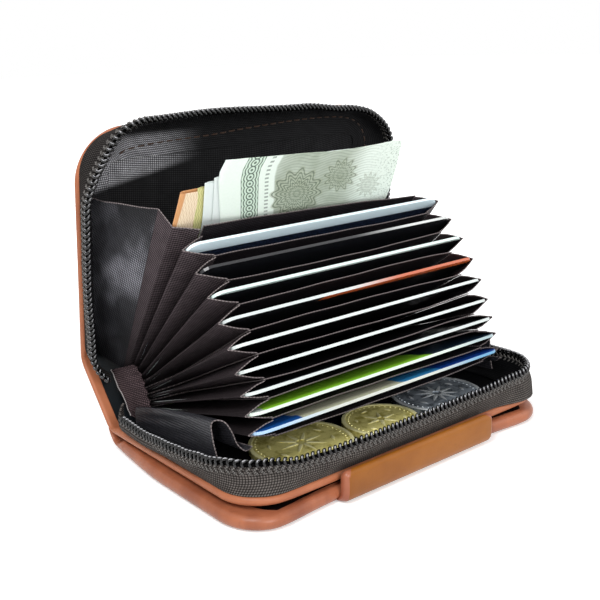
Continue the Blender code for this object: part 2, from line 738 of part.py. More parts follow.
stand = Matrix(((1, 0, 0, 0), (0, 0, 1, 0), (0, 1, 0, SLIDER_THICKNESS), (0, 0, 0, 1)))
bridge = place("slider_lug", prism(lug, -0.0007, 0.0007, stand), slider_seat, STEEL)
combine(slider, bridge, "UNION")
axis_puller = bpy.data.objects.new("axis_puller", None)
bpy.context.scene.collection.objects.link(axis_puller)
axis_puller.parent = slider_seat
axis_puller.location = (0.0, 0.0, pin_z)
half_p = PULLER_WIDTH / 2
outline = arc((PULLER_LENGTH - half_p, 0.0), half_p, -90, 90, 8)
outline += [(-0.00035, 0.80 * half_p), (-0.00035, -0.80 * half_p)]
thin = PULLER_THICKNESS / 2
puller = place("zip_puller", prism(outline, -thin, thin), axis_puller, STEEL)
eye = [(0.00035, -0.0013), (0.0046, -0.0013), (0.0046, 0.0013), (0.00035, 0.0013)]
hole = place("puller_eye", prism(eye, -0.002, 0.002), axis_puller, STEEL)
combine(puller, hole, "DIFFERENCE")
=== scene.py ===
"""Looks of the slim zip wallet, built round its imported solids.

The code counts in millimetres, and the mesh builder turns them to metres.
X runs along the spine, -Y is the zipped front edge and +Z is up. A leaf, a
divider or a card is drawn in the frame of its own fold line, turned open
from the closed wallet by so many degrees.
"""

import logging
import math
from dataclasses import dataclass, field, replace
from enum import Enum
from typing import Any, Callable, Iterator, Optional, Sequence

import bmesh
import bpy
import numpy as np
from mathutils import Matrix, Vector


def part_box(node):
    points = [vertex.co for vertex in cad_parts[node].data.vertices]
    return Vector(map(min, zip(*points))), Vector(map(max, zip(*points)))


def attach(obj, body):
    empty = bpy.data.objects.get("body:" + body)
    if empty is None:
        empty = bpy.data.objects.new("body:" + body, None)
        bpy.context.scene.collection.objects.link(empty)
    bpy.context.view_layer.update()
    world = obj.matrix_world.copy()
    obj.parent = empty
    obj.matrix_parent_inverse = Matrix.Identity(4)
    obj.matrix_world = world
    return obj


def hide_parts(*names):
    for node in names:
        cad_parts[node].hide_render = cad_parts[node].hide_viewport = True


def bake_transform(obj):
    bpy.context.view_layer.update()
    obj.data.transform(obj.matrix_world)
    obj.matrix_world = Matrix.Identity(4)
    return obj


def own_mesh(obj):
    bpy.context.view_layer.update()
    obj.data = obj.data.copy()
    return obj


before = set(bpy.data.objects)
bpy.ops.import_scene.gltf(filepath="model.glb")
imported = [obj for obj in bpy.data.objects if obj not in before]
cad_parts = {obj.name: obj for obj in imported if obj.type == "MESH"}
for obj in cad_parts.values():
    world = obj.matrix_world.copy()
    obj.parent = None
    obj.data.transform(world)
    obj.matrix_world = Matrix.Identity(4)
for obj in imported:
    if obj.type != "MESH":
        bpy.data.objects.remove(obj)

LOG = logging.getLogger("zip_wallet")
MM = 0.001
Pair = tuple[float, float]
Triple = tuple[float, float, float]
Stops = tuple[tuple[float, str], ...]
UP: Triple = (0.0, 0.0, 1.0)

# Shader helpers


def linear(colour: str) -> tuple[float, ...]:
    """Turn an sRGB hex colour to linear light.

    Args:
        colour: Six hex digits after a hash.

    Returns:
        Red, green and blue in linear light, and full opacity.
    """
    shares = [int(colour[start : start + 2], 16) / 255 for start in (1, 3, 5)]
    return (*(s / 12.92 if s <= 0.04045 else ((s + 0.055) / 1.055) ** 2.4 for s in shares), 1.0)


@dataclass
class Wire:
    """One output of a material's nodes, and the sums that make a pattern of it."""

    tree: bpy.types.NodeTree
    socket: bpy.types.NodeSocket

    def do(self, operation: str, other: Any = 0.0) -> "Wire":
        """Return a sum of this value and another."""
        return node(self.tree, "ShaderNodeMath", {0: self, 1: other}, operation=operation)

    def __add__(self, other: Any) -> "Wire":
        """Return the two added."""
        return self.do("ADD", other)

    def __mul__(self, other: Any) -> "Wire":
        """Return the two multiplied."""
        return self.do("MULTIPLY", other)

    def __rsub__(self, other: float) -> "Wire":
        """Return this value taken from a number."""
        return self * -1.0 + other

    def __abs__(self) -> "Wire":
        """Return this value without its sign."""
        return self.do("ABSOLUTE")

    def wave(self, turn: Any) -> "Wire":
        """Return the sine of this value times another."""
        return (self * turn).do("SINE")

    def step(self, low: float, high: float) -> "Wire":
        """Return a smooth step of this value, from 0 at low to 1 at high."""
        ends = {"Value": self, "From Min": low, "From Max": high}
        return node(self.tree, "ShaderNodeMapRange", ends, "Result", interpolation_type="SMOOTHSTEP")

    def band(self, start: float, full: float, fading: float, end: float) -> "Wire":
        """Return 1 where this value lies in a band with soft ends, and 0 beyond it."""
        return self.step(start, full) * (1.0 - self.step(fading, end))

    def blend(self, first: Any, second: Any) -> "Wire":
        """Return a mix of two colours, from the first at 0 to the second at 1."""
        return node(self.tree, "ShaderNodeMix", {0: self, 6: first, 7: second}, 2, data_type="RGBA")

    def along(self, way: Triple) -> "Wire":
        """Return how far this vector reaches in a direction."""
        return node(self.tree, "ShaderNodeVectorMath", {0: self, 1: way}, "Value", operation="DOT_PRODUCT")

    def axes(self) -> list["Wire"]:
        """Return this vector's X, Y and Z."""
        parted = node(self.tree, "ShaderNodeSeparateXYZ", {0: self})
        return [Wire(self.tree, output) for output in parted.socket.node.outputs]

    def spots(self, size_mm: float, detail: float = 2.0) -> "Wire":
        """Return a noise of spots of about this size, on this vector of millimetres."""
        look = {"Vector": self, "Scale": 1 / size_mm, "Detail": detail, "Roughness": 0.6}
        return node(self.tree, "ShaderNodeTexNoise", look, "Fac")

    def streaks(self, scale: Triple, detail: float) -> "Wire":
        """Return a noise drawn out along this vector, by a scale for each axis."""
        drawn = node(self.tree, "ShaderNodeMapping", {"Vector": self, "Scale": scale})
        return node(self.tree, "ShaderNodeTexNoise", {"Vector": drawn, "Scale": 1.0, "Detail": detail}, "Fac")

    def emboss(self, depth_mm: float, strength: float) -> "Wire":
        """Return the normal of a surface raised by this height of 0 to 1."""
        relief = {"Height": self, "Strength": strength, "Distance": depth_mm * MM}
        return node(self.tree, "ShaderNodeBump", relief)


def feed(tree: bpy.types.NodeTree, made: bpy.types.Node, sockets: dict) -> None:
    """Link or set inputs of a node.

    Args:
        tree: The material's node tree.
        made: The node.
        sockets: Input name or number to a wire, a number, a vector or a hex colour.
    """
    for key, value in sockets.items():
        if isinstance(value, Wire):
            tree.links.new(value.socket, made.inputs[key])
        else:
            made.inputs[key].default_value = linear(value) if isinstance(value, str) else value


def node(
    tree: bpy.types.NodeTree, kind: str, sockets: Optional[dict] = None, output: Any = 0, **settings: Any
) -> Wire:
    """Add a node with its settings and links.

    Args:
        tree: The material's node tree.
        kind: The node's type name.
        sockets: What goes into its inputs.
        output: Name or number of the output that is wanted.
        settings: Properties of the node.

    Returns:
        That output.
    """
    made = tree.nodes.new(kind)
    for key, value in settings.items():
        setattr(made, key, value)
    feed(tree, made, sockets or {})
    return Wire(tree, made.outputs[output])


def on_cloth(tree: bpy.types.NodeTree) -> Wire:
    """Return millimetres along the piece's own length and width."""
    return node(tree, "ShaderNodeTexCoord", output="UV")


def on_solid(tree: bpy.types.NodeTree) -> Wire:
    """Return millimetres in the wallet's frame."""
    place = node(tree, "ShaderNodeTexCoord", output="Object")
    return node(tree, "ShaderNodeVectorMath", {0: place, "Scale": 1 / MM}, operation="SCALE")


@dataclass(frozen=True)
class Finish:
    """A surface: its name says what it is and how it was made."""

    name: str
    colour: str
    roughness: float

    def material(self) -> bpy.types.Material:
        """Return the material of this finish, made once."""
        found = bpy.data.materials.get(self.name)
        if found:
            return found
        made = bpy.data.materials.new(self.name)
        made.use_nodes = True
        tree = made.node_tree
        shader = tree.nodes["Principled BSDF"]
        feed(tree, shader, {"Base Color": self.colour, "Roughness": self.roughness})
        feed(tree, shader, self.dress(tree))
        return made

    def dress(self, tree: bpy.types.NodeTree) -> dict[str, Any]:
        """Return what this finish feeds to the shader's inputs."""
        return {}


@dataclass(frozen=True)
class Leather(Finish):
    """Finished calf hide: small pebbled grain, faint creases and a waxed top."""

    shade: str = "#8F4E30"
    grain_mm: float = 0.55
    grain: float = 0.35
    mottle_mm: float = 16.0
    wax: float = 0.12

    def dress(self, tree: bpy.types.NodeTree) -> dict[str, Any]:
        """Mottle the colour and emboss the grain."""
        hide = on_cloth(tree)
        broad = hide.spots(self.mottle_mm, 3.0)
        tint = broad.step(0.35, 0.70).blend(self.colour, self.shade)
        fine = hide.spots(self.grain_mm * 2.4).step(0.52, 0.78)
        look = {"Vector": hide, "Scale": 1 / self.grain_mm, "Randomness": 0.9}
        pebble = node(tree, "ShaderNodeTexVoronoi", look, "Distance", feature="SMOOTH_F1")
        pore = hide.spots(self.grain_mm * 0.8, 3.0)
        # Creases lie about 3 mm apart, and are drawn out to some 20 mm.
        crease = hide.streaks((0.05, 0.33, 1.0), 3.0).step(0.40, 0.62)
        height = pebble * -0.8 + pore * 0.6 + crease * 0.8
        return {
            "Base Color": (fine * 0.35).blend(tint, self.shade),
            "Normal": height.emboss(0.10, self.grain),
            "Roughness": broad * 0.18 + (self.roughness - 0.08),
            "Coat Weight": self.wax,
            "Coat Roughness": 0.28,
            "Specular IOR Level": 0.25,
        }


class Weave(Enum):
    """How a cloth's threads cross."""

    PLAIN = "plain"
    RIB = "rib"


@dataclass(frozen=True)
class Cloth(Finish):
    """Woven cloth or twisted thread: the yarns show as small lit bumps.

    The crowns wear the thread colour, partly the yarn's own tone and partly
    painted highlight. Painted glints that show in one field only are bounded
    by `lit`: directions in the wallet's frame, with the distances along them
    where the painted glints are out and in. `patchy` gathers the painted
    glints in patches.
    """

    thread: str = "#3A3638"
    weave: Weave = Weave.PLAIN
    pitch_mm: float = 0.55
    relief: float = 0.6
    glint: float = 0.3
    drape: float = 2.5
    patchy: float = 0.0
    lit: tuple[tuple[Triple, float, float], ...] = ()

    def threads(self, place: Wire) -> Wire:
        """Return the height of the threads, from 0 in the gaps to 1 on their crowns."""
        across, along = (axis.wave(math.pi / self.pitch_mm) for axis in place.axes()[:2])
        if self.weave is Weave.RIB:
            return abs(across) * 0.3 + abs(along) * 0.7
        return abs(across * along).do("SQRT")

    def shine(self, tree: bpy.types.NodeTree) -> Wire:
        """Return how strongly the painted glints show: fully in the lit field, hardly beyond it."""
        place = on_solid(tree)
        found: Any = 0.95
        for way, dull, bright in self.lit:
            found = place.along(way).step(dull, bright) * found
        return found + 0.05

    def dress(self, tree: bpy.types.NodeTree) -> dict[str, Any]:
        """Draw the threads in colour and in relief."""
        place = on_cloth(tree)
        crown = self.threads(place)
        # The thread colour on the crowns is partly the yarn's own tone and partly painted highlight.
        share = crown.do("POWER", 2.2) * (place.spots(3.5, 3.0) + 0.35)
        # Painted glints: gathered in patches, and kept to the lit field.
        if self.patchy:
            patch = place.spots(17.0).step(0.44, 0.66)
            share = share * (patch * (1.5 * self.patchy) + (1 - self.patchy))
        if self.lit:
            share = share * self.shine(tree)
        height = crown + place.spots(9.0) * self.drape
        return {
            "Base Color": share.blend(self.colour, self.thread),
            "Normal": height.emboss(0.10, self.relief),
            "Roughness": (self.roughness + 0.2) - crown * 0.3,
            "Specular IOR Level": self.glint,
        }


@dataclass(frozen=True)
class Moulded(Finish):
    """Drawn nylon: smooth and glossy, with a slight unevenness."""

    coat: float = 0.3
    worn: str = "#9E9EA2"

    def dress(self, tree: bpy.types.NodeTree) -> dict[str, Any]:
        """Vary the gloss a little, add the coat, and paint a highlight on the crowns that face the lamps."""
        spots = on_solid(tree).spots(1.2)
        # Painted highlight: where the normal faces up, to the front and to the left, towards the lamps.
        crown = node(tree, "ShaderNodeTexCoord", output="Normal").along((-0.30, -0.50, 0.81))
        return {
            "Base Color": crown.step(0.90, 0.99).blend(self.colour, self.worn),
            "Roughness": spots * 0.2 + (self.roughness - 0.1),
            "Normal": spots.emboss(0.03, 0.3),
            "Coat Weight": self.coat,
            "Coat Roughness": 0.05,
            "Specular IOR Level": 0.25,
        }


@dataclass(frozen=True)
class Metal(Finish):
    """Worn metal: tumbled blanks with fine scratches, darker in the hollows."""

    tarnish: str = "#3A3420"
    scratch: float = 0.25
    bare: float = 1.0
    raised: str = ""
    raised_z: Pair = (9.22, 9.32)

    def dress(self, tree: bpy.types.NodeTree) -> dict[str, Any]:
        """Tarnish the colour and scratch the surface."""
        place = on_solid(tree)
        stain = place.spots(2.6, 4.0)
        tint = stain.step(0.42, 0.72).blend(self.colour, self.tarnish)
        if self.raised:
            # A coin's rim and relief stand above this height, and are rubbed bright.
            tint = place.axes()[2].step(*self.raised_z).blend(tint, self.raised)
        return {
            "Base Color": tint,
            "Normal": place.streaks((6.0, 0.5, 0.5), 2.0).emboss(0.02, self.scratch),
            "Roughness": stain * 0.25 + (self.roughness - 0.1),
            "Metallic": self.bare,
        }


@dataclass(frozen=True)
class Board(Finish):
    """Pressed grey board: matt, with flecks of fibre."""

    fibre: str = "#8C877C"

    def dress(self, tree: bpy.types.NodeTree) -> dict[str, Any]:
        """Fleck the board."""
        fleck = on_solid(tree).spots(0.8, 4.0)
        return {"Base Color": fleck.blend(self.colour, self.fibre), "Normal": fleck.emboss(0.05, 0.4)}


@dataclass(frozen=True)
class CardPrint(Finish):
    """Laminated PVC card: a pale core at the edge, and a plain printed face.

    The print is generic: flat fields side by side, and a strip along the top.
    """

    root: Pair = (0.0, 0.0)
    lean: float = 0.0
    fields: Stops = ((-50.0, "#121317"),)
    strips: Stops = ()
    strip_mm: float = 0.0
    fleck: str = ""
    core: Stops = ((-50.0, "#CBD3D1"),)
    top_mm: float = 54.48

    def bands(self, x: Wire, stops: Stops, soft: float) -> Any:
        """Return the colours of fields that begin at these X values."""
        found: Any = stops[0][1]
        for start, colour in stops[1:]:
            found = x.step(start - soft, start + soft).blend(found, colour)
        return found

    def dress(self, tree: bpy.types.NodeTree) -> dict[str, Any]:
        """Print the card's two faces and leave its edge the core's colour."""
        angle = math.radians(self.lean)
        place = on_solid(tree)
        x = place.axes()[0]
        shifted = node(tree, "ShaderNodeVectorMath", {0: place, 1: (0.0, *self.root)}, operation="SUBTRACT")
        reach = shifted.along((0.0, -math.cos(angle), math.sin(angle)))
        face_place = node(tree, "ShaderNodeCombineXYZ", {0: x, 1: reach})
        uneven = x + face_place.spots(9.0, 3.0) * 6.0
        face = self.bands(uneven, self.fields, 0.4)
        if self.fleck:
            face = face_place.spots(0.55, 1.0).do("GREATER_THAN", 0.56).blend(face, self.fleck)
        if self.strips:
            top = reach.do("GREATER_THAN", self.top_mm - self.strip_mm)
            face = top.blend(face, self.bands(uneven, self.strips, 0.4))
        normal = node(tree, "ShaderNodeTexCoord", output="Normal")
        is_face = abs(normal.along((0.0, math.sin(angle), math.cos(angle)))).do("GREATER_THAN", 0.7)
        return {
            "Base Color": is_face.blend(self.bands(x, self.core, 12.0), face),
            "Normal": place.spots(1.5).emboss(0.02, 0.15),
            "Coat Weight": 0.25,
            "Coat Roughness": 0.2,
        }


class NoteField(Enum):
    """Which part of a generic banknote a piece of paper shows."""

    FRONT = "front"
    MARGIN = "margin"
    BROWN = "brown"
    OLIVE = "olive"


@dataclass(frozen=True)
class NotePaper(Finish):
    """Cotton paper with a generic security print of rings, waves and fine lines."""

    ink: str = "#5E7F6C"
    wash: str = "#BFD3C0"
    kind: NoteField = NoteField.FRONT
    plate: str = "#8F9B85"
    rosette: str = "#A9B39A"
    rosette_ink: str = "#5B6A58"
    stipple: str = "#7E9384"
    # Centre, radius and strength of each rosette.
    rosettes: tuple[tuple[Pair, float, float], ...] = (
        ((24.0, 60.0), 8.4, 0.9), ((38.5, 64.0), 5.6, 0.7), ((49.0, 59.0), 4.2, 0.35),
    )

    def dress(self, tree: bpy.types.NodeTree) -> dict[str, Any]:
        """Print the paper for the part of the note that it shows."""
        place = on_cloth(tree)
        u, v = place.axes()[:2]
        fibre = place.spots(0.7, 3.0)
        base = (fibre * 0.35).blend(self.colour, self.wash)
        if self.kind is NoteField.FRONT:
            base = self.front(base, u, v, place)
        elif self.kind is not NoteField.MARGIN:
            lines = (u * 9.0 + v.wave(3.0) * 1.5).do("SINE")
            base = (lines.step(0.0, 0.9) * 0.5).blend(base, self.ink)
            if self.kind is NoteField.BROWN:
                # The fold itself shows the darker back of the note.
                base = ((1.0 - u.step(14.9, 15.3)) * 0.85).blend(base, self.wash)
        height = fibre + place.spots(6.0, 4.0) * 4.0
        return {"Base Color": base, "Normal": height.emboss(0.05, 0.5), "Sheen Weight": 0.1}

    def border(self, u: Wire, v: Wire) -> Wire:
        """Return a row of linked ring patterns, 4.2 mm apart."""
        over, up = u + -8.8, v.do("PINGPONG", 2.1) + -1.05
        return (over * over + up * up).do("SQRT").wave(7.5).do("GREATER_THAN", 0.25)

    def front(self, base: Wire, u: Wire, v: Wire, place: Wire) -> Wire:
        """Return the print of the front note: border, rosettes, fine lines and a stippled fade."""
        strip = u.band(6.0, 6.2, 11.4, 11.6)
        base = (strip * 0.8).blend(base, self.wash)
        base = (strip * self.border(u, v) * 0.9).blend(base, self.ink)
        ticks = u.band(13.4, 13.5, 14.6, 14.7) * v.wave(5.0).do("GREATER_THAN", 0.1)
        base = (ticks * 0.6).blend(base, self.ink)
        cloud = place.spots(5.0, 4.0)
        base = (u.band(16.2, 17.0, 38.0, 48.0) * (cloud * 0.7 + 0.35)).blend(base, self.plate)
        for (centre_u, centre_v), radius, strength in self.rosettes:
            over, up = u + -centre_u, v + -centre_v
            # Twelve petals, and rings 1.4 mm apart, coarser than the real 0.3 mm so that they show.
            petal = up.do("ARCTAN2", over).wave(12.0) * 0.9
            far = (over * over + up * up).do("SQRT") + petal
            ground = (1.0 - far.step(radius - 0.5, radius)) * (cloud * 0.6 + 0.55)
            base = (ground * (0.75 * strength)).blend(base, self.rosette)
            drawn = ground * far.wave(4.5).step(-0.1, 0.6)
            base = (drawn * strength).blend(base, self.rosette_ink)
        # Fine engraved lines, 0.9 mm apart, drawn coarser than the real 0.2 mm so that they show.
        lines = (v + u.wave(0.5) * 0.6).wave(7.0)
        body = u.band(16.0, 18.0, 44.0, 56.0)
        base = (body * lines.step(0.3, 0.9) * 0.28).blend(base, self.ink)
        dots = place.spots(0.7, 1.0).do("GREATER_THAN", 0.57)
        return (dots * u.step(44.0, 62.0) * 0.55).blend(base, self.stipple)


# Finishes

# Calf hide, drum-dyed tan and waxed: a warm brown with a soft shine on its rounded edges.
TAN_HIDE = Leather("tan_calf_hide_waxed", "#AE6B49", 0.46, shade="#9A5B3E", wax=0.08)
# The same hide, glazed: pinker, and shinier where it wraps the flap's edge.
FLAP_HIDE = Leather("flap_calf_hide_glazed", "#A86647", 0.38, shade="#834A33", wax=0.15)
# Smooth strap leather, burnished: ochre, nearly without grain.
STRAP_HIDE = Leather(
    "strap_leather_burnished", "#94591A", 0.40, shade="#804914", grain=0.12, mottle_mm=24.0, wax=0.06
)
# Painted leather edge: the strap's cut edge, sealed and polished, pinker than its face.
EDGE_PAINT = Leather("leather_edge_painted", "#A05F44", 0.34, shade="#8A4C36", grain=0.08, wax=0.25)
# Every cloth's threads are drawn 0.4 to 0.9 mm apart, coarser than the real 0.2 to 0.4 mm, so
# that they show.

# Painted shade in the rear slot: a near-black finish for the flap's inner face, so that the slot reads as a
# black line.
SLOT_PAINTED_SHADE = Cloth("slot_painted_shade", "#0A0606", 0.9, thread="#170E0C", pitch_mm=0.5, glint=0.02)
# Plain-woven nylon lining: black, with painted highlight in the corner: a grid of small bright
# glints on its threads, kept to a field of the wallet's frame.
LINING_CLOTH = Cloth(
    "lining_nylon_plain_woven", "#060607", 0.6, thread="#CECED4", pitch_mm=0.6, relief=0.8, glint=0.06,
    lit=(((-0.184, 0.0, 1.0), 77.4, 79.6), ((1.0, 0.0, 0.0), -13.0, -30.0), (UP, 84.6, 82.4)),
)
# Black nylon in the coin tray: it swallows the light.
TRAY_CLOTH = Cloth("tray_nylon_plain_woven", "#050506", 0.7, thread="#151518", pitch_mm=0.6, glint=0.05)
# Calendered nylon: pressed smooth, so nearly black with a cold gloss.
SMOOTH_CLOTH = Cloth(
    "lining_nylon_calendered", "#090D10", 0.40, thread="#12191D", pitch_mm=0.5, relief=0.3, glint=0.2
)
# Ribbed nylon of the pockets: brown-black, with fine lines across it.
POCKET_CLOTH = Cloth(
    "pocket_nylon_ribbed", "#09080A", 0.65, thread="#2E292D", weave=Weave.RIB, pitch_mm=0.62, relief=0.9,
    glint=0.08,
)
# The same nylon in the pockets' pleats, with painted highlight on its threads that grows the higher they lie.
PLEAT_CLOTH = replace(
    POCKET_CLOTH, name="pleat_nylon_ribbed", colour="#0F0C0D", thread="#6C6064", lit=((UP, 10.0, 62.0),)
)
# The same nylon, bluer and shinier on the coin tray's sides.
SIDE_CLOTH = Cloth(
    "side_nylon_woven", "#08080A", 0.36, thread="#43434A", pitch_mm=0.66, relief=1.0, drape=8.0
)
# And on the note space's sides, with soft wrinkles, and painted highlight on the threads in patches, in a
# band of heights.
PANEL_CLOTH = Cloth(
    "panel_nylon_woven", "#08080A", 0.45, thread="#94949C", pitch_mm=0.66, relief=1.0, glint=0.12,
    drape=16.0, patchy=0.7, lit=((UP, 26.0, 52.0), (UP, 74.0, 56.0)),
)
# Heat-cut cloth edge: a thin grey line along every mouth.
CUT_EDGE = Cloth("nylon_edge_heat_cut", "#463F3F", 0.6, thread="#9A9090", pitch_mm=0.9, relief=0.3, glint=0.1)
# Woven polyester binding: brown-black, coarse.
BINDING_CLOTH = Cloth(
    "binding_polyester_woven", "#110D0E", 0.8, thread="#665659", pitch_mm=0.7, relief=1.0, glint=0.04
)
# Zip tape, woven polyester: dark grey and matt, with thick threads, so that it looks pebbled.
TAPE_CLOTH = Cloth(
    "zip_tape_plain_woven", "#1B1918", 0.85, thread="#756F6B", pitch_mm=0.66, relief=1.0, glint=0.05
)
# The same tape round the lid, with painted shade: nearly black with faint threads.
SHADED_TAPE_CLOTH = replace(
    TAPE_CLOTH, name="zip_tape_woven_painted_shade", colour="#0E0D0D", thread="#4A4644", glint=0.04
)
# Zip coil, drawn nylon filament: black, with painted highlight on the crown of every turn, on the side that
# faces the lamps.
COIL_NYLON = Moulded("zip_coil_drawn_nylon", "#060607", 0.2, coat=0.4)
# Cord inside the coil: black and matt, so that no light shows between the turns.
COIL_CORE = Cloth("zip_core_cord", "#050505", 0.9, thread="#0C0C0C", pitch_mm=0.5, relief=0.4, glint=0.02)
# Sewing thread that holds the coil: grey, twisted and slightly glossy.
COIL_THREAD = Cloth(
    "zip_thread_twisted", "#1E1C1B", 0.45, thread="#94908C", pitch_mm=0.45, relief=0.5, glint=0.2
)
# Top stitching of the lid lining: waxed brown thread.
STITCH_THREAD = Cloth(
    "stitching_thread_waxed", "#2C211C", 0.5, thread="#6E584C", pitch_mm=0.4, relief=0.3, glint=0.2
)
# Piping cord at the accordion's ends: pale and braided.
PIPING_CORD = Cloth("piping_cord_braided", "#5F5A5A", 0.5, thread="#D2CECC", pitch_mm=0.5, relief=0.4)
# Pressed grey board inside the leaves.
GREY_BOARD = Board("stiffener_board_pressed", "#6F6B62", 0.9)
# Blackened zinc slider: die-cast and plated, dark with soft reflections.
BLACK_ZINC = Metal("slider_zinc_blackened", "#3A3A3E", 0.32, tarnish="#1E1E20")
# Nickel-plated magnet: pale and smooth.
MAGNET_PLATE = Metal("magnet_nickel_plated", "#B9B9BC", 0.30, tarnish="#8E8E92")
# Struck brass: olive-gold, oxidised by handling, so most of its light is matt.
COIN_BRASS = Metal(
    "coin_brass_struck", "#F2E894", 0.36, tarnish="#B0A44C", scratch=0.5, bare=0.3, raised="#FBF5B8"
)
# Struck steel: blue-grey with black hollows.
COIN_STEEL = Metal(
    "coin_steel_struck", "#A6B0BA", 0.22, tarnish="#333A42", scratch=0.6, bare=0.5, raised="#E6ECF0"
)
# Cotton notes: a printed face, plain margins, and the backs of two older notes.
NOTE_FINISHES = [
    NotePaper("note_cotton_printed", "#F1FCF3", 0.75, ink="#35503F", wash="#CBE0CD"),
    NotePaper("note_cotton_unprinted", "#E4ECE9", 0.7, kind=NoteField.MARGIN, wash="#CFDDDB"),
    NotePaper("note_cotton_brown", "#F3E6CB", 0.75, ink="#C4A172", wash="#C98748", kind=NoteField.BROWN),
    NotePaper("note_cotton_olive", "#D5D193", 0.75, ink="#8E8F4B", wash="#B9B56C", kind=NoteField.OLIVE),
]

# Mesh helpers


def cells(rows: int, columns: int, start: int = 0) -> Iterator[tuple[int, int, tuple[int, int, int, int]]]:
    """Yield each cell of a grid of points: its row, its column and its four corners' numbers."""
    for r in range(rows - 1):
        for c in range(columns - 1):
            a = start + r * columns + c
            yield r, c, (a, a + 1, a + columns + 1, a + columns)


def distances(path: Any) -> np.ndarray:
    """Return how far each point of a path lies from its start, along it."""
    steps = np.linalg.norm(np.diff(np.asarray(path, float), axis=0), axis=1)
    return np.concatenate([[0.0], np.cumsum(steps)])


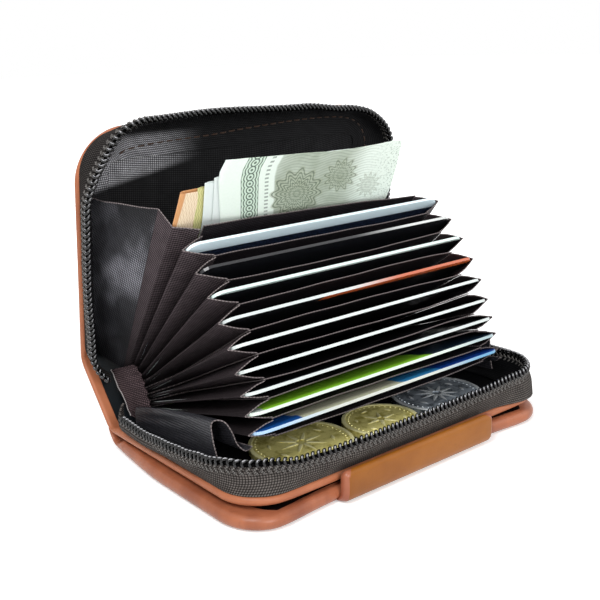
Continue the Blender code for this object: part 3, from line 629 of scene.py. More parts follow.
class Parts:
    """Collects surfaces in millimetres and makes one object of them."""

    def __init__(self) -> None:
        """Start with nothing."""
        self.points: list[np.ndarray] = []
        self.faces: list[tuple[tuple[int, ...], int]] = []
        self.places: list[np.ndarray] = []
        self.count = 0

    def add(self, points: Any, faces: Sequence[Sequence[int]], places: Any = None, finish: int = 0) -> None:
        """Add a surface.

        Args:
            points: Its corners, one row each.
            faces: Its faces, as numbers of those rows.
            places: Its pattern coordinates in millimetres, one pair for each corner.
            finish: Which of the object's finishes it wears.
        """
        points = np.asarray(points, float).reshape(-1, 3)
        if places is None:
            places = points[:, :2]
        self.points.append(points)
        self.places.append(np.asarray(places, float).reshape(-1, 2))
        self.faces += [(tuple(n + self.count for n in face), finish) for face in faces]
        self.count += len(points)

    def slab(
        self, rows: Any, thickness: float, finish: Any = 0, rim: Optional[int] = None,
        start: Optional[Pair] = None,
    ) -> None:
        """Add a closed sheet of cloth or paper about a grid of points.

        Args:
            rows: The grid, as rows by columns by three.
            thickness: The sheet's own.
            finish: The finish of its two faces, or one for each row.
            rim: The finish of its edges, or None for the same.
            start: Where the pattern begins, or None for the first column's X.
        """
        rows = np.asarray(rows, float)
        down, over = np.gradient(rows, axis=0), np.gradient(rows, axis=1)
        normal = np.cross(over, down)
        normal /= np.maximum(np.linalg.norm(normal, axis=2, keepdims=True), 1e-9)
        half = thickness / 2
        count, width = rows.shape[:2]
        u = np.cumsum(np.linalg.norm(np.diff(rows, axis=1, prepend=rows[:, :1]), axis=2), axis=1)
        u += rows[:, :1, 0] if start is None else start[0]
        v = np.cumsum(np.linalg.norm(np.diff(rows, axis=0, prepend=rows[:1]), axis=2), axis=0)
        v += 0.0 if start is None else start[1]
        bands = [finish] * count if isinstance(finish, int) else list(finish)
        places = np.stack([u, v], axis=2).reshape(-1, 2)
        points = np.concatenate([(rows + normal * lift).reshape(-1, 3) for lift in (half, -half)])
        number = np.arange(count * width).reshape(count, width) + self.count
        back = count * width
        for r, _, (a, b, d, e) in cells(count, width, self.count):
            self.faces.append(((a, e, d, b), bands[r]))
            self.faces.append(((a + back, b + back, d + back, e + back), bands[r]))
        self.add(points, [], np.concatenate([places, places]))
        edge = [int(n) for n in (*number[0, :], *number[1:, -1], *number[-1, -2::-1], *number[-2:0:-1, 0])]
        side = bands[0] if rim is None else rim
        self.faces += [((a, b, b + back, a + back), side) for a, b in zip(edge, edge[1:] + edge[:1])]

    def hemmed(self, rows: Any, thickness: float, lip: float) -> None:
        """Add a sheet whose edges, and a cord of this radius along its last row, wear finish 1."""
        self.slab(rows, thickness, 0, 1)
        self.tube(rows[-1], lip, 5, 1)

    def tube(self, path: Any, radius: Any, sides: int = 6, finish: int = 0, flat: float = 1.0) -> None:
        """Add a closed tube along a path.

        Args:
            path: The points that it follows.
            radius: One number, or one for each point.
            sides: How many sides it has.
            finish: Its finish.
            flat: Its thickness as a share of its width.
        """
        line = np.asarray(path, float)
        radii = np.broadcast_to(np.asarray(radius, float), len(line))
        ways = np.gradient(line, axis=0)
        ways /= np.maximum(np.linalg.norm(ways, axis=1, keepdims=True), 1e-9)
        seed = np.array([0.0, 0.0, 1.0]) if abs(ways[0][2]) < 0.9 else np.array([1.0, 0.0, 0.0])
        side = np.cross(ways[0], seed)
        rings, places = [], []
        run = 0.0
        for n, (point, way, size) in enumerate(zip(line, ways, radii)):
            side = side - way * side.dot(way)
            side /= max(np.linalg.norm(side), 1e-9)
            third = np.cross(way, side)
            run += float(np.linalg.norm(point - line[max(n - 1, 0)]))
            for k in range(sides):
                turn = 2 * math.pi * k / sides
                rings.append(point + side * size * math.cos(turn) + third * size * flat * math.sin(turn))
                places.append((run, turn * size))
        faces: list[tuple[int, ...]] = []
        for n in range(len(line) - 1):
            for k in range(sides):
                m = (k + 1) % sides
                faces.append((n * sides + k, n * sides + m, (n + 1) * sides + m, (n + 1) * sides + k))
        faces.append(tuple(reversed(range(sides))))
        faces.append(tuple(range((len(line) - 1) * sides, len(line) * sides)))
        self.add(rings, faces, np.array(places), finish)

    def build(
        self, name: str, finishes: Sequence[Finish], sharp: float = 45.0, merge: bool = False
    ) -> bpy.types.Object:
        """Make the object.

        Args:
            name: The piece's name.
            finishes: Its finishes, in the order of their numbers.
            sharp: Edges steeper than this many degrees stay sharp.
            merge: Whether corners at one place are joined.

        Returns:
            The new object, in the scene.
        """
        mesh = bpy.data.meshes.new(name)
        points = np.concatenate(self.points) * MM
        mesh.from_pydata(points.tolist(), [], [face for face, _ in self.faces])
        mesh.polygons.foreach_set("material_index", [finish for _, finish in self.faces])
        layer = mesh.uv_layers.new(name="millimetres")
        places = np.concatenate(self.places)
        loops = np.empty(len(mesh.loops), np.int32)
        mesh.loops.foreach_get("vertex_index", loops)
        layer.data.foreach_set("uv", places[loops].astype(np.float32).ravel())
        for finish in finishes:
            mesh.materials.append(finish.material())
        bm = bmesh.new()
        bm.from_mesh(mesh)
        if merge:
            bmesh.ops.remove_doubles(bm, verts=bm.verts, dist=2e-6)
        bmesh.ops.recalc_face_normals(bm, faces=bm.faces)
        bm.to_mesh(mesh)
        bm.free()
        mesh.shade_smooth()
        mesh.set_sharp_from_angle(angle=math.radians(sharp))
        return placed(name, mesh)


def placed(name: str, data: Any) -> bpy.types.Object:
    """Return a new object of this mesh, lamp or camera, in the scene."""
    made = bpy.data.objects.new(name, data)
    bpy.context.scene.collection.objects.link(made)
    return made


def carve(piece: bpy.types.Object, cutter: bpy.types.Object) -> None:
    """Cut one object out of another for good, and remove the cutter."""
    cut = piece.modifiers.new("cut", "BOOLEAN")
    cut.operation, cut.solver, cut.object = "DIFFERENCE", "EXACT", cutter
    graph = bpy.context.evaluated_depsgraph_get()
    mesh = bpy.data.meshes.new_from_object(piece.evaluated_get(graph))
    piece.modifiers.clear()
    piece.data = mesh
    bpy.data.objects.remove(cutter, do_unlink=True)


def block(low: Triple, high: Triple) -> bpy.types.Object:
    """Return a plain block for cutting, between two corners in millimetres."""
    corners = [(x, y, z) for x in (low[0], high[0]) for y in (low[1], high[1]) for z in (low[2], high[2])]
    parts = Parts()
    parts.add(corners, [(0, 1, 3, 2), (4, 6, 7, 5), (0, 4, 5, 1), (2, 3, 7, 6), (0, 2, 6, 4), (1, 5, 7, 3)])
    return parts.build("cutter", [TAN_HIDE])


def bezier(points: Sequence[Sequence[float]], steps: int) -> np.ndarray:
    """Return points along the curve that these control points shape."""
    found = []
    for n in range(steps + 1):
        t = n / steps
        row = [np.asarray(p, float) for p in points]
        while len(row) > 1:
            row = [(1 - t) * a + t * b for a, b in zip(row, row[1:])]
        found.append(row[0])
    return np.array(found)


def through(points: Sequence[Sequence[float]], steps: int) -> np.ndarray:
    """Return a smooth curve through points, with so many steps between each two."""
    knots = np.asarray(points, float)
    padded = np.vstack([2 * knots[0] - knots[1], knots, 2 * knots[-1] - knots[-2]])
    found = []
    for a, b, c, d in zip(padded, padded[1:], padded[2:], padded[3:]):
        for n in range(steps):
            t = n / steps
            bent = 2 * b + (c - a) * t + (2 * a - 5 * b + 4 * c - d) * t**2 + (3 * b - a - 3 * c + d) * t**3
            found.append(0.5 * bent)
    found.append(knots[-1])
    return np.array(found)


def smooth(t: float) -> float:
    """Return a smooth step of a share between 0 and 1."""
    t = min(max(t, 0.0), 1.0)
    return t * t * (3 - 2 * t)


def fade(value: float, ends: Pair) -> float:
    """Return a smooth step of a value from 0 at the first end to 1 at the second."""
    return smooth((value - ends[0]) / (ends[1] - ends[0]))


def ripple(x: float, y: float, seed: float) -> float:
    """Return a gentle unevenness between about -1 and 1, the same on every run."""
    first = math.sin(0.11 * x + 0.07 * y + seed * 1.7)
    second = math.sin(0.23 * x - 0.13 * y + seed * 2.9)
    third = math.sin(0.05 * x + 0.31 * y + seed * 4.1)
    return 0.5 * first + 0.3 * second + 0.2 * third


@dataclass(frozen=True)
class Fold:
    """A fold line along X, and the frame that turns open about it."""

    y: float
    z: float
    opened: float

    def world(self, points: Any) -> np.ndarray:
        """Return points of this frame in the wallet's frame."""
        local = np.asarray(points, float)
        c, s = math.cos(math.radians(self.opened)), math.sin(math.radians(self.opened))
        found = local.copy()
        found[..., 1] = self.y + local[..., 1] * c + local[..., 2] * s
        found[..., 2] = self.z - local[..., 1] * s + local[..., 2] * c
        return found

    def line(self, y: float, z: float) -> np.ndarray:
        """Return Y and Z in the wallet's frame of a line along this fold."""
        return self.world((0.0, y, z))[1:]

    def up(self) -> Triple:
        """Return this frame's own up direction."""
        angle = math.radians(self.opened)
        return (0.0, math.sin(angle), math.cos(angle))

    def point(self) -> Triple:
        """Return the fold line's middle in metres."""
        return (0.0, self.y * MM, self.z * MM)


@dataclass
class Wallet:
    """The sizes that the sub-assemblies share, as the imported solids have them."""

    leaf_length: float = 103.0
    leaf_depth: float = 64.5
    leaf_corner: float = 12.0
    fold_y: float = 20.5
    fold_z: float = 4.9
    spine_width: float = 22.5
    spine_open: float = 39.0
    lid_open: float = 43.0
    base_leather: float = 2.2
    lid_leather: float = 2.0
    spine_leather: float = 1.4
    fold_leather: float = 1.1

    @property
    def half(self) -> float:
        """Half the wallet's length."""
        return self.leaf_length / 2

    @property
    def base(self) -> Fold:
        """The base leaf's frame."""
        return Fold(self.fold_y, self.fold_z, 0.0)

    @property
    def spine(self) -> Fold:
        """The spine panel's frame."""
        return Fold(self.fold_y, self.fold_z, self.spine_open)

    @property
    def lid(self) -> Fold:
        """The lid's frame."""
        return Fold(*self.spine.line(0.0, self.spine_width), self.spine_open + self.lid_open)


# How far from its rim a leather is divided, as shares of its rounded edge.
EDGE_SHARES = (0.0, 0.03, 0.12, 0.27, 0.5, 0.75, 1.0)


@dataclass
class LeatherSheet:
    """A sheet of leather that bends along a path, with a rounded front and sides.

    The path runs from the rounded front to the plain end, in (y, z). The
    leather lies on its left where `left` is true. Its inner face wears painted
    shade further in than `painted_shade_inset`, and its rim is paint up to
    `painted`. The front's corners bow out by `bow`, and the right side's front
    half by `right`.
    """

    path: np.ndarray
    thickness: Callable[[float], float]
    half: float
    corner: float
    edge: float
    left: bool = True
    centre: float = 0.0
    rear_inset: float = 0.0
    painted_shade_inset: float = 0.0
    painted: float = 0.0
    bow: float = 0.0
    right: float = 0.0
    columns: int = 24
    pitch: float = 0.8
    rear_fade: float = 34.0
    # Distances from the middle and from the front between which the bow and the right bulge fade.
    bow_across: Pair = (24.0, 51.0)
    bow_down: Pair = (0.0, 26.0)
    right_across: Pair = (24.0, 48.0)
    right_down: Pair = (42.0, 62.0)

    def inside(self, x: float, run: float, wide: float) -> float:
        """Return how far a point lies inside the outline, which is this wide there."""
        inner = self.half - self.corner
        if abs(x) > inner and run < self.corner:
            return self.corner - math.hypot(abs(x) - inner, self.corner - run)
        return min(wide - abs(x), run)

    def half_width(self, run: float, length: float) -> float:
        """Return half the outline's width at a distance from the front."""
        if run >= self.corner:
            return self.half - self.rear_inset * smooth((run - length + self.rear_fade) / self.rear_fade)
        return self.half - self.corner + math.sqrt(max(self.corner**2 - (self.corner - run) ** 2, 0.0))

    def stray(self, x: float, run: float) -> Pair:
        """Return how far a point moves to the right and to the front."""
        wider = self.right * fade(x, self.right_across) * (1 - fade(run, self.right_down))
        return wider, self.bow * fade(abs(x), self.bow_across) * (1 - fade(run, self.bow_down))

    def build(self, name: str, finish: Finish) -> bpy.types.Object:
        """Make the sheet.

        Args:
            name: The piece's name.
            finish: Its leather.

        Returns:
            The new object.
        """
        runs = distances(self.path)
        length = float(runs[-1])
        ways = np.gradient(self.path, axis=0) / np.maximum(np.gradient(runs)[:, None], 1e-9)
        insets = [self.edge * share for share in EDGE_SHARES]
        skins: tuple[list, list] = ([], [])
        places: list[Pair] = []
        margins: list[float] = []
        for run in (*insets, *np.arange(self.edge + self.pitch, length, self.pitch), length):
            wide = self.half_width(run, length)
            xs = [-wide + inset for inset in insets]
            xs += list(np.linspace(-wide + self.edge, wide - self.edge, self.columns + 2)[1:-1])
            xs += [wide - inset for inset in reversed(insets)]
            y, z = (np.interp(run, runs, self.path[:, n]) for n in (0, 1))
            way = np.array([np.interp(run, runs, ways[:, n]) for n in (0, 1)])
            way /= np.linalg.norm(way)
            normal = np.array([-way[1], way[0]]) * (1 if self.left else -1)
            half = self.thickness(run) / 2
            for x in xs:
                depth_in = self.inside(x, run, wide)
                margins.append(depth_in)
                share = min(max(depth_in / self.edge, 0.0), 1.0)
                lift = half * math.sqrt(max(1 - (1 - share) ** 2, 0.0))
                wider, out = self.stray(x, run)
                for skin, depth in zip(skins, (half - lift, half + lift)):
                    forward, up = y - out + normal[0] * depth, z + normal[1] * depth
                    skin.append((x + self.centre + wider, forward, up))
                places.append((x, run))
        width = 2 * len(insets) + self.columns
        back = len(places)
        leather: list[tuple[int, ...]] = []
        cloth: list[tuple[int, ...]] = []
        rims: list[tuple[int, ...]] = []
        for _, c, (a, b, d, e) in cells(back // width, width):
            inside = min(margins[n] for n in (a, b, d, e))
            at_side = min(c, width - 2 - c) < len(insets) - 1
            outer = rims if self.painted and at_side and inside < self.painted else leather
            outer.append((a, b, d, e))
            # Inner faces further inside than the inset wear finish 1: painted shade.
            inner = cloth if self.painted_shade_inset and inside >= self.painted_shade_inset else outer
            inner.append((a + back, e + back, d + back, b + back))
        leather += [(a, a + 1, a + 1 + back, a + back) for a in range(back - width, back - 1)]
        parts = Parts()
        parts.add(skins[0] + skins[1], leather, np.array(places + places))
        parts.faces += [(face, 1) for face in cloth + rims]
        extra = [SLOT_PAINTED_SHADE] if self.painted_shade_inset else [EDGE_PAINT] if self.painted else []
        return parts.build(name, [finish, *extra], 60, merge=True)


# Sub-assemblies


@dataclass
class LeatherCover:
    """The outer leather: base leaf, spine and lid in one turned sheet."""

    wallet: Wallet = field(default_factory=Wallet)
    fold_reach: float = 3.0
    probe: float = 0.8

    def half_path(self, front: Any, rear: Any, corner: Any, turn: Any) -> np.ndarray:
        """Return the outer face's line from a leaf's front round its fold to mid-spine."""
        w = self.wallet
        bend = bezier([rear, corner, turn], 14)[1:]
        rest = np.linspace(turn, w.spine.line(0.0, w.spine_width / 2), 5)[1:]
        return np.vstack([np.linspace(front, rear, 24), bend, rest])

    def path(self, lid: bool) -> np.ndarray:
        """Return the outer face's line from the lid's or the base's front to mid-spine."""
        w, reach = self.wallet, self.fold_reach
        if lid:
            front, rear = (w.lid.line(y, 0.0) for y in (-w.leaf_depth, -reach))
            return self.half_path(front, rear, (w.lid.y, w.lid.z), w.spine.line(0.0, w.spine_width - reach))
        front, rear = ((w.fold_y - depth, w.fold_z) for depth in (w.leaf_depth, reach))
        return self.half_path(front, rear, (w.fold_y, w.fold_z), w.spine.line(0.0, reach))

    def thickness(self, leaf: float) -> Callable[[float], float]:
        """Return the leather's thickness against the distance from the front."""
        w = self.wallet
        start = w.leaf_depth - self.fold_reach

        def at(run: float) -> float:
            """Thin the leaf down into the fold."""
            return leaf + (w.spine_leather - leaf) * smooth((run - start + 1.0) / 4.0)

        return at

    def inner(self, lid: bool, depth: float, runs: Sequence[float]) -> np.ndarray:
        """Return points a depth inside the leather's inner face, and its normals.

        Args:
            lid: Whether it is the lid's half or the base's.
            depth: How far inside.
            runs: The points' distances from the front.

        Returns:
            Y, Z and the normal's Y and Z, one row for each distance.
        """
        path = self.path(lid)
        lengths = distances(path)
        thick = self.thickness(self.wallet.lid_leather if lid else self.wallet.base_leather)
        found = []
        for run in runs:
            ahead, behind, here = (
                np.array([np.interp(run + step, lengths, path[:, n]) for n in (0, 1)])
                for step in (self.probe, -self.probe, 0.0)
            )
            way = (ahead - behind) / max(float(np.linalg.norm(ahead - behind)), 1e-9)
            normal = np.array([-way[1], way[0]]) * (-1 if lid else 1)
            found.append(np.concatenate([here + normal * (thick(run) + depth), normal]))
        return np.array(found)

    def hinge(self, lid: bool) -> tuple[Triple, Triple]:
        """Return where the bend by the base or by the lid begins and ends, in metres."""
        w = self.wallet
        if lid:
            low = w.spine.line(0.0, w.spine_width - self.fold_reach)
            high = w.lid.line(-self.fold_reach, 0.0)
        else:
            low = (w.fold_y - self.fold_reach, w.fold_z)
            high = w.spine.line(0.0, self.fold_reach)
        return (0.0, low[0] * MM, low[1] * MM), (0.0, high[0] * MM, high[1] * MM)

    def build(self) -> None:
        """Make the two halves of the cover, which meet in the middle of the spine."""
        w = self.wallet
        base = LeatherSheet(
            self.path(False), self.thickness(w.base_leather), w.half, w.leaf_corner, 1.1, right=2.8
        )
        piece = base.build("cover_base_leather", TAN_HIDE)
        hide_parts("base_leather", "base_fold_leather")
        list(self.hinge(False))
        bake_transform(piece)
        LOG.info("base half of the cover")
        lid = LeatherSheet(
            self.path(True), self.thickness(w.lid_leather), w.half, w.leaf_corner + 2.5, 1.0, left=False
        )
        piece = lid.build("cover_lid_leather", TAN_HIDE)
        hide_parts("lid_leather", "lid_fold_leather", "spine_leather")
        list(self.hinge(True))
        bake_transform(piece)
        LOG.info("lid half of the cover")


@dataclass
class RearFlap:
    """The rear flap, one thick wrapped band, and the closing tab sewn under it."""

    wallet: Wallet = field(default_factory=Wallet)
    thickness: float = 3.7
    overhang: float = 0.6
    bulge: float = 1.8
    rear_reach: float = 3.0
    tab_width: float = 52.8
    tab_offset: float = 0.3
    tab_thickness: float = 2.7
    tab_padding: float = 0.45
    tab_top: float = 8.5
    leg_length: float = 20.0
    leg_thickness: float = 1.0
    bed_gap: float = 0.3

    @property
    def front(self) -> float:
        """Y of the flap's front edge."""
        return self.wallet.fold_y - self.wallet.leaf_depth - self.overhang

    @property
    def rear(self) -> float:
        """Y where the flap starts to turn up to the base."""
        return self.wallet.fold_y - self.rear_reach

    def flap(self) -> bpy.types.Object:
        """Make the flap's wrapped body and the leather that turns up to the base."""
        w = self.wallet
        start = (self.rear - 4.0, 0.0)
        flat = np.linspace((self.front, 0.0), start, 24)
        bend = bezier([start, (w.fold_y + 0.6, 0.1), (w.fold_y + 2.6, w.fold_z + 0.4)], 16)[1:]

        def thick(run: float) -> float:
            """Thin the wrapped flap down to one leather behind the fold."""
            thinned = smooth((run - (self.rear - self.front) + 2.0) / 5.0)
            return self.thickness + (w.fold_leather - self.thickness) * thinned

        path = np.vstack([flat, bend])
        # The flap's inner face wears painted shade, so that the slot under the base reads as a black line.
        sheet = LeatherSheet(
            path, thick, w.half + self.bulge, w.leaf_corner, 1.9, rear_inset=2.6, painted_shade_inset=2.4, bow=self.bulge
        )
        piece = sheet.build("rear_flap_leather", FLAP_HIDE)
        bed = self.tab_width / 2 + self.bed_gap
        low = (self.tab_offset - bed, self.front - 5.0, -2.0)
        high = (self.tab_offset + bed, self.front + self.leg_length + self.bed_gap, self.leg_thickness + 0.2)
        carve(piece, block(low, high))
        return piece

    def tab(self) -> bpy.types.Object:
        """Make the closing tab: a leg under the flap, a bend and the strap in front."""
        face = self.front - 0.3 - self.tab_thickness
        fold = (self.front + 0.5, 0.0)
        leg = np.linspace((self.front + self.leg_length, 0.0), fold, 14)
        curl = bezier([fold, (face + 0.2, 0.0), (face, 2.6)], 12)[1:]
        strap = bezier([(face, 2.6), (face - 0.35, 5.2), (face + 0.1, self.tab_top)], 10)[1:]
        # The sheet is rounded where its path begins, which is the strap's free edge.
        path = np.vstack([leg, curl, strap])[::-1]
        reach = float(distances(path)[-1]) - self.leg_length

        def thick(run: float) -> float:
            """Pad the strap over its magnet, and thin it to a single leather for its sewn leg."""
            padded = self.tab_thickness + self.tab_padding * math.sin(math.pi * min(run / reach, 1.0))
            return padded + (self.leg_thickness - self.tab_thickness) * smooth((run - reach + 2.0) / 3.0)

        sheet = LeatherSheet(path, thick, self.tab_width / 2, 1.6, 1.3, centre=self.tab_offset, painted=0.9)
        return sheet.build("closing_tab_strap", STRAP_HIDE)

    def build(self) -> None:
        """Make the flap and the tab."""
        flap = self.flap()
        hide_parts("flap_outer_leather", "flap_inner_leather", "flap_fold_leather")
        low = (0.0, (self.rear + 2.0) * MM, 0.001)
        high = (0.0, (self.rear + 5.6) * MM, self.wallet.fold_z * MM)
        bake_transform(flap)
        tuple(low)
        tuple(high)
        LOG.info("rear flap")
        tab = self.tab()
        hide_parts("closing_tab", "tab_bend", "tab_sewn_leg")
        low, high = (0.0, (self.front - 0.6) * MM, 0.0), (0.0, (self.front - 2.0) * MM, 0.0028)
        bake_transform(tab)
        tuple(low)
        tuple(high)
        LOG.info("closing tab")


# Where the soft chains stray: share of the length, outward and upward in millimetres.
BASE_STRAYS: tuple[Triple, ...] = (
    (0.00, 0.0, -2.7), (0.06, 0.2, -3.1), (0.11, 0.4, -2.3), (0.15, 0.1, -1.8), (0.19, -0.5, -1.0),
    (0.235, -1.4, 0.3), (0.275, -2.4, 0.1), (0.32, -1.6, -1.2), (0.37, -0.4, -1.2), (0.42, 0.7, -0.7),
    (0.50, -0.3, -1.1), (0.63, -0.5, -0.8), (0.70, -0.5, -0.1), (0.76, -0.6, 0.1), (0.84, -0.4, 0.0),
    (1.00, -0.8, 0.0),
)
LID_STRAYS: tuple[Triple, ...] = (
    (0.00, -0.4, 0.0), (0.10, 0.4, 0.0), (0.20, 0.2, 0.0), (0.265, -3.2, 0.2), (0.345, 1.6, 0.0),
    (0.44, 2.2, 0.0), (0.60, 1.2, 0.0), (0.68, -0.4, 0.0), (0.745, -2.2, 0.0), (0.82, 0.2, 0.0),
    (1.00, 0.0, 0.0),
)


@dataclass
class ZipChain:
    """One side of the zip: tape, coil and the threads that sew them together.

    Its line follows the leaf's rim from `start` to `end` short of the fold.
    Beyond its left end the tape runs on for `curl`, draws in by `curl_in` and
    rises by `curl_rise`, and its last stretch, `bare`, has no coil.
    """

    name: str
    leaf: Fold
    side: int
    foot: float
    start: float
    body: str
    strays: tuple[Triple, ...]
    wallet: Wallet = field(default_factory=Wallet)
    inset: float = 1.1
    end: float = 12.0
    flare: float = 2.4
    tape_top: float = 9.5
    tape_thickness: float = 0.5
    coil_middle: float = 10.2
    coil_half_width: float = 0.68
    coil_half_height: float = 0.78
    filament: float = 0.29
    head_swell: float = 0.17
    heel_swell: float = 0.08
    cord: float = 0.42
    cord_rise: float = 0.62
    slack: float = 0.24
    pitch: float = 1.5
    curl: float = 6.0
    curl_in: float = 3.4
    curl_rise: float = 2.8
    bare: float = 6.0
    spread: float = 0.0
    cloth: Cloth = TAPE_CLOTH

    def outline(self) -> Triple:
        """Return half the line's length in X, its depth and its corners' radius."""
        w = self.wallet
        return (w.half - self.inset, w.leaf_depth - self.inset, w.leaf_corner - self.inset)

    def runs(self) -> tuple[float, ...]:
        """Return the lengths of the line's left side, corner, front, corner and right side."""
        half, depth, radius = self.outline()
        quarter = math.pi / 2 * radius
        return (depth - radius - self.start, quarter, 2 * (half - radius), quarter, depth - radius - self.end)

    def at(self, distance: float) -> tuple[float, float, float, float]:
        """Return the line's point and its outward direction at a distance.

        Past its left end the tape runs on and curls inwards.
        """
        left, turn, front, _, right = self.runs()
        half, depth, radius = self.outline()
        inner, bottom = half - radius, -(depth - radius)
        if distance <= 0:
            share = -distance / self.curl
            return (-half + self.curl_in * share**2, -self.start - distance * (1 - 0.1 * share), -1.0, 0.0)
        if distance <= left:
            return (-half, -self.start - distance, -1.0, 0.0)
        distance -= left
        for middle, angle, straight in ((-inner, math.pi, front), (inner, 1.5 * math.pi, 0.0)):
            if distance <= turn:
                angle += distance / radius
                out_x, out_y = math.cos(angle), math.sin(angle)
                return (middle + radius * out_x, bottom + radius * out_y, out_x, out_y)
            distance -= turn
            if distance <= straight:
                return (-inner + distance, -depth, 0.0, -1.0)
            distance -= straight
        return (half, bottom + min(distance, right), 1.0, 0.0)

    def place(self, distance: float, outward: float, height: float) -> Triple:
        """Return a point of the leaf's frame beside the line at a distance."""
        x, y, out_x, out_y = self.at(distance)
        return (x + out_x * outward, y + out_y * outward, self.side * height)

    def sway(self, distance: float) -> Pair:
        """Return how far the chain strays outward and upward from its plain line."""
        shares = [key[0] for key in self.strays]
        share = min(max(distance / sum(self.runs()), 0.0), 1.0)
        at = min(max(int(np.searchsorted(shares, share)), 1), len(shares) - 1)
        low, high = self.strays[at - 1], self.strays[at]
        part = smooth((share - low[0]) / (high[0] - low[0]))
        return (low[1] + (high[1] - low[1]) * part, low[2] + (high[2] - low[2]) * part)

    def lift(self, distance: float) -> float:
        """Return how far the curled end stands above the line."""
        return self.curl_rise * smooth(-distance / self.curl)

    def tape(self) -> list[list[Triple]]:
        """Return the tape's wall as a grid: it leans out and bows as it rises."""
        length = sum(self.runs())
        rows = []
        for share in np.linspace(0.0, 1.0, 13):
            bulge = math.sin(math.pi * share)
            row = []
            for distance in np.arange(-self.curl, length + 0.5, 1.1):
                out, up = self.sway(distance)
                # Past the fold the spine's leather rises, and the foot with it.
                low = self.foot + 1.3 * max(-distance - self.start, 0.0)
                rise = low + (self.tape_top + up - low) * share
                spread = smooth((distance - length * 0.66) / 16.0) * smooth((length - distance) / 20.0)
                lean = 0.1 + self.spread * (1 - share) * spread
                lean += (self.flare + out - 0.1) * math.sin(share * math.pi / 2) ** 1.15
                wave = self.slack * bulge * ripple(distance * 1.6, rise * 2, 3.0 + self.side)
                lean += 0.3 * max(-up, 0.0) * bulge
                row.append(self.place(distance, lean + wave, rise + self.lift(distance) * share))
            rows.append(row)
        return rows

    def coil(self, parts: Parts) -> None:
        """Add the coil, one filament wound round a cord, thick at the head of each turn."""
        lead = self.curl - self.bare
        turns = int((sum(self.runs()) + lead) / self.pitch)
        steps = 14
        points, radii, core = [], [], []
        for n in range(turns * steps + 1):
            turn = 2 * math.pi * n / steps
            distance = self.pitch * n / steps - lead
            out, up = self.sway(distance)
            # The filament runs straight over the head and slants back under the foot.
            along = distance + 0.2 * self.pitch * math.sin(2 * turn)
            height = self.coil_middle + up - self.coil_half_height * math.cos(turn) + self.lift(distance)
            outward = self.flare + out + self.coil_half_width * math.sin(turn)
            points.append(self.place(along, outward, height))
            head, heel = max(-math.cos(turn), 0.0), max(math.sin(turn), 0.0)
            radii.append(self.filament + self.head_swell * head**2 + self.heel_swell * heel)
            if n % steps == 0:
                core.append(self.place(distance, self.flare + out, height + self.cord_rise))
        parts.tube(points, radii, 7, 0)
        parts.tube(core, self.cord, 6, 1)

    def stitches(self, parts: Parts) -> None:
        """Add the sewing that holds the coil: two rows of slanted stitches, one pair a turn."""
        rows = ((self.tape_top - 0.75, 0.5, 0.97), (self.tape_top - 1.75, -0.5, 0.93))
        for n in range(int(sum(self.runs()) / self.pitch)):
            distance = n * self.pitch
            out, up = self.sway(distance)
            for low, tilt, leaning in rows:
                for face in (1.0, -0.8):
                    path = []
                    for share, swell in ((0.0, 0.0), (0.3, 0.32), (0.7, 0.32), (1.0, 0.0)):
                        along = distance + tilt * self.pitch * (share - 0.5) * 1.5
                        lean = (self.flare + out) * leaning
                        path.append(self.place(along, lean + face * (0.28 + swell), low + up + 1.05 * share))
                    parts.tube(path, (0.18, 0.31, 0.31, 0.18), 5, 2)

    def build(self) -> None:
        """Make the tape and the coil; the base chain's are hung on its leaf."""
        parts = Parts()
        parts.slab(self.tape(), self.tape_thickness)
        tape = parts.build(f"{self.name}_tape_cloth", [self.cloth])
        parts = Parts()
        self.coil(parts)
        self.stitches(parts)
        coil = parts.build(f"{self.name}_coil_filament", [COIL_NYLON, COIL_CORE, COIL_THREAD], 80)
        for piece, cad, slot in ((tape, "tape", "zip_tape"), (coil, "coil", "zip_coil")):
            local = np.array([tuple(c / MM for c in corner.co) for corner in piece.data.vertices])
            piece.data.vertices.foreach_set("co", (self.leaf.world(local) * MM).astype(np.float32).ravel())
            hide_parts(f"{self.name}_{cad}")
            if self.side < 0:
                # The tape's end lies on the spine.
                self.body
                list(LeatherCover(self.wallet).hinge(True))
                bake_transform(piece)
            else:
                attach(piece, self.body)
        LOG.info("%s", self.name)


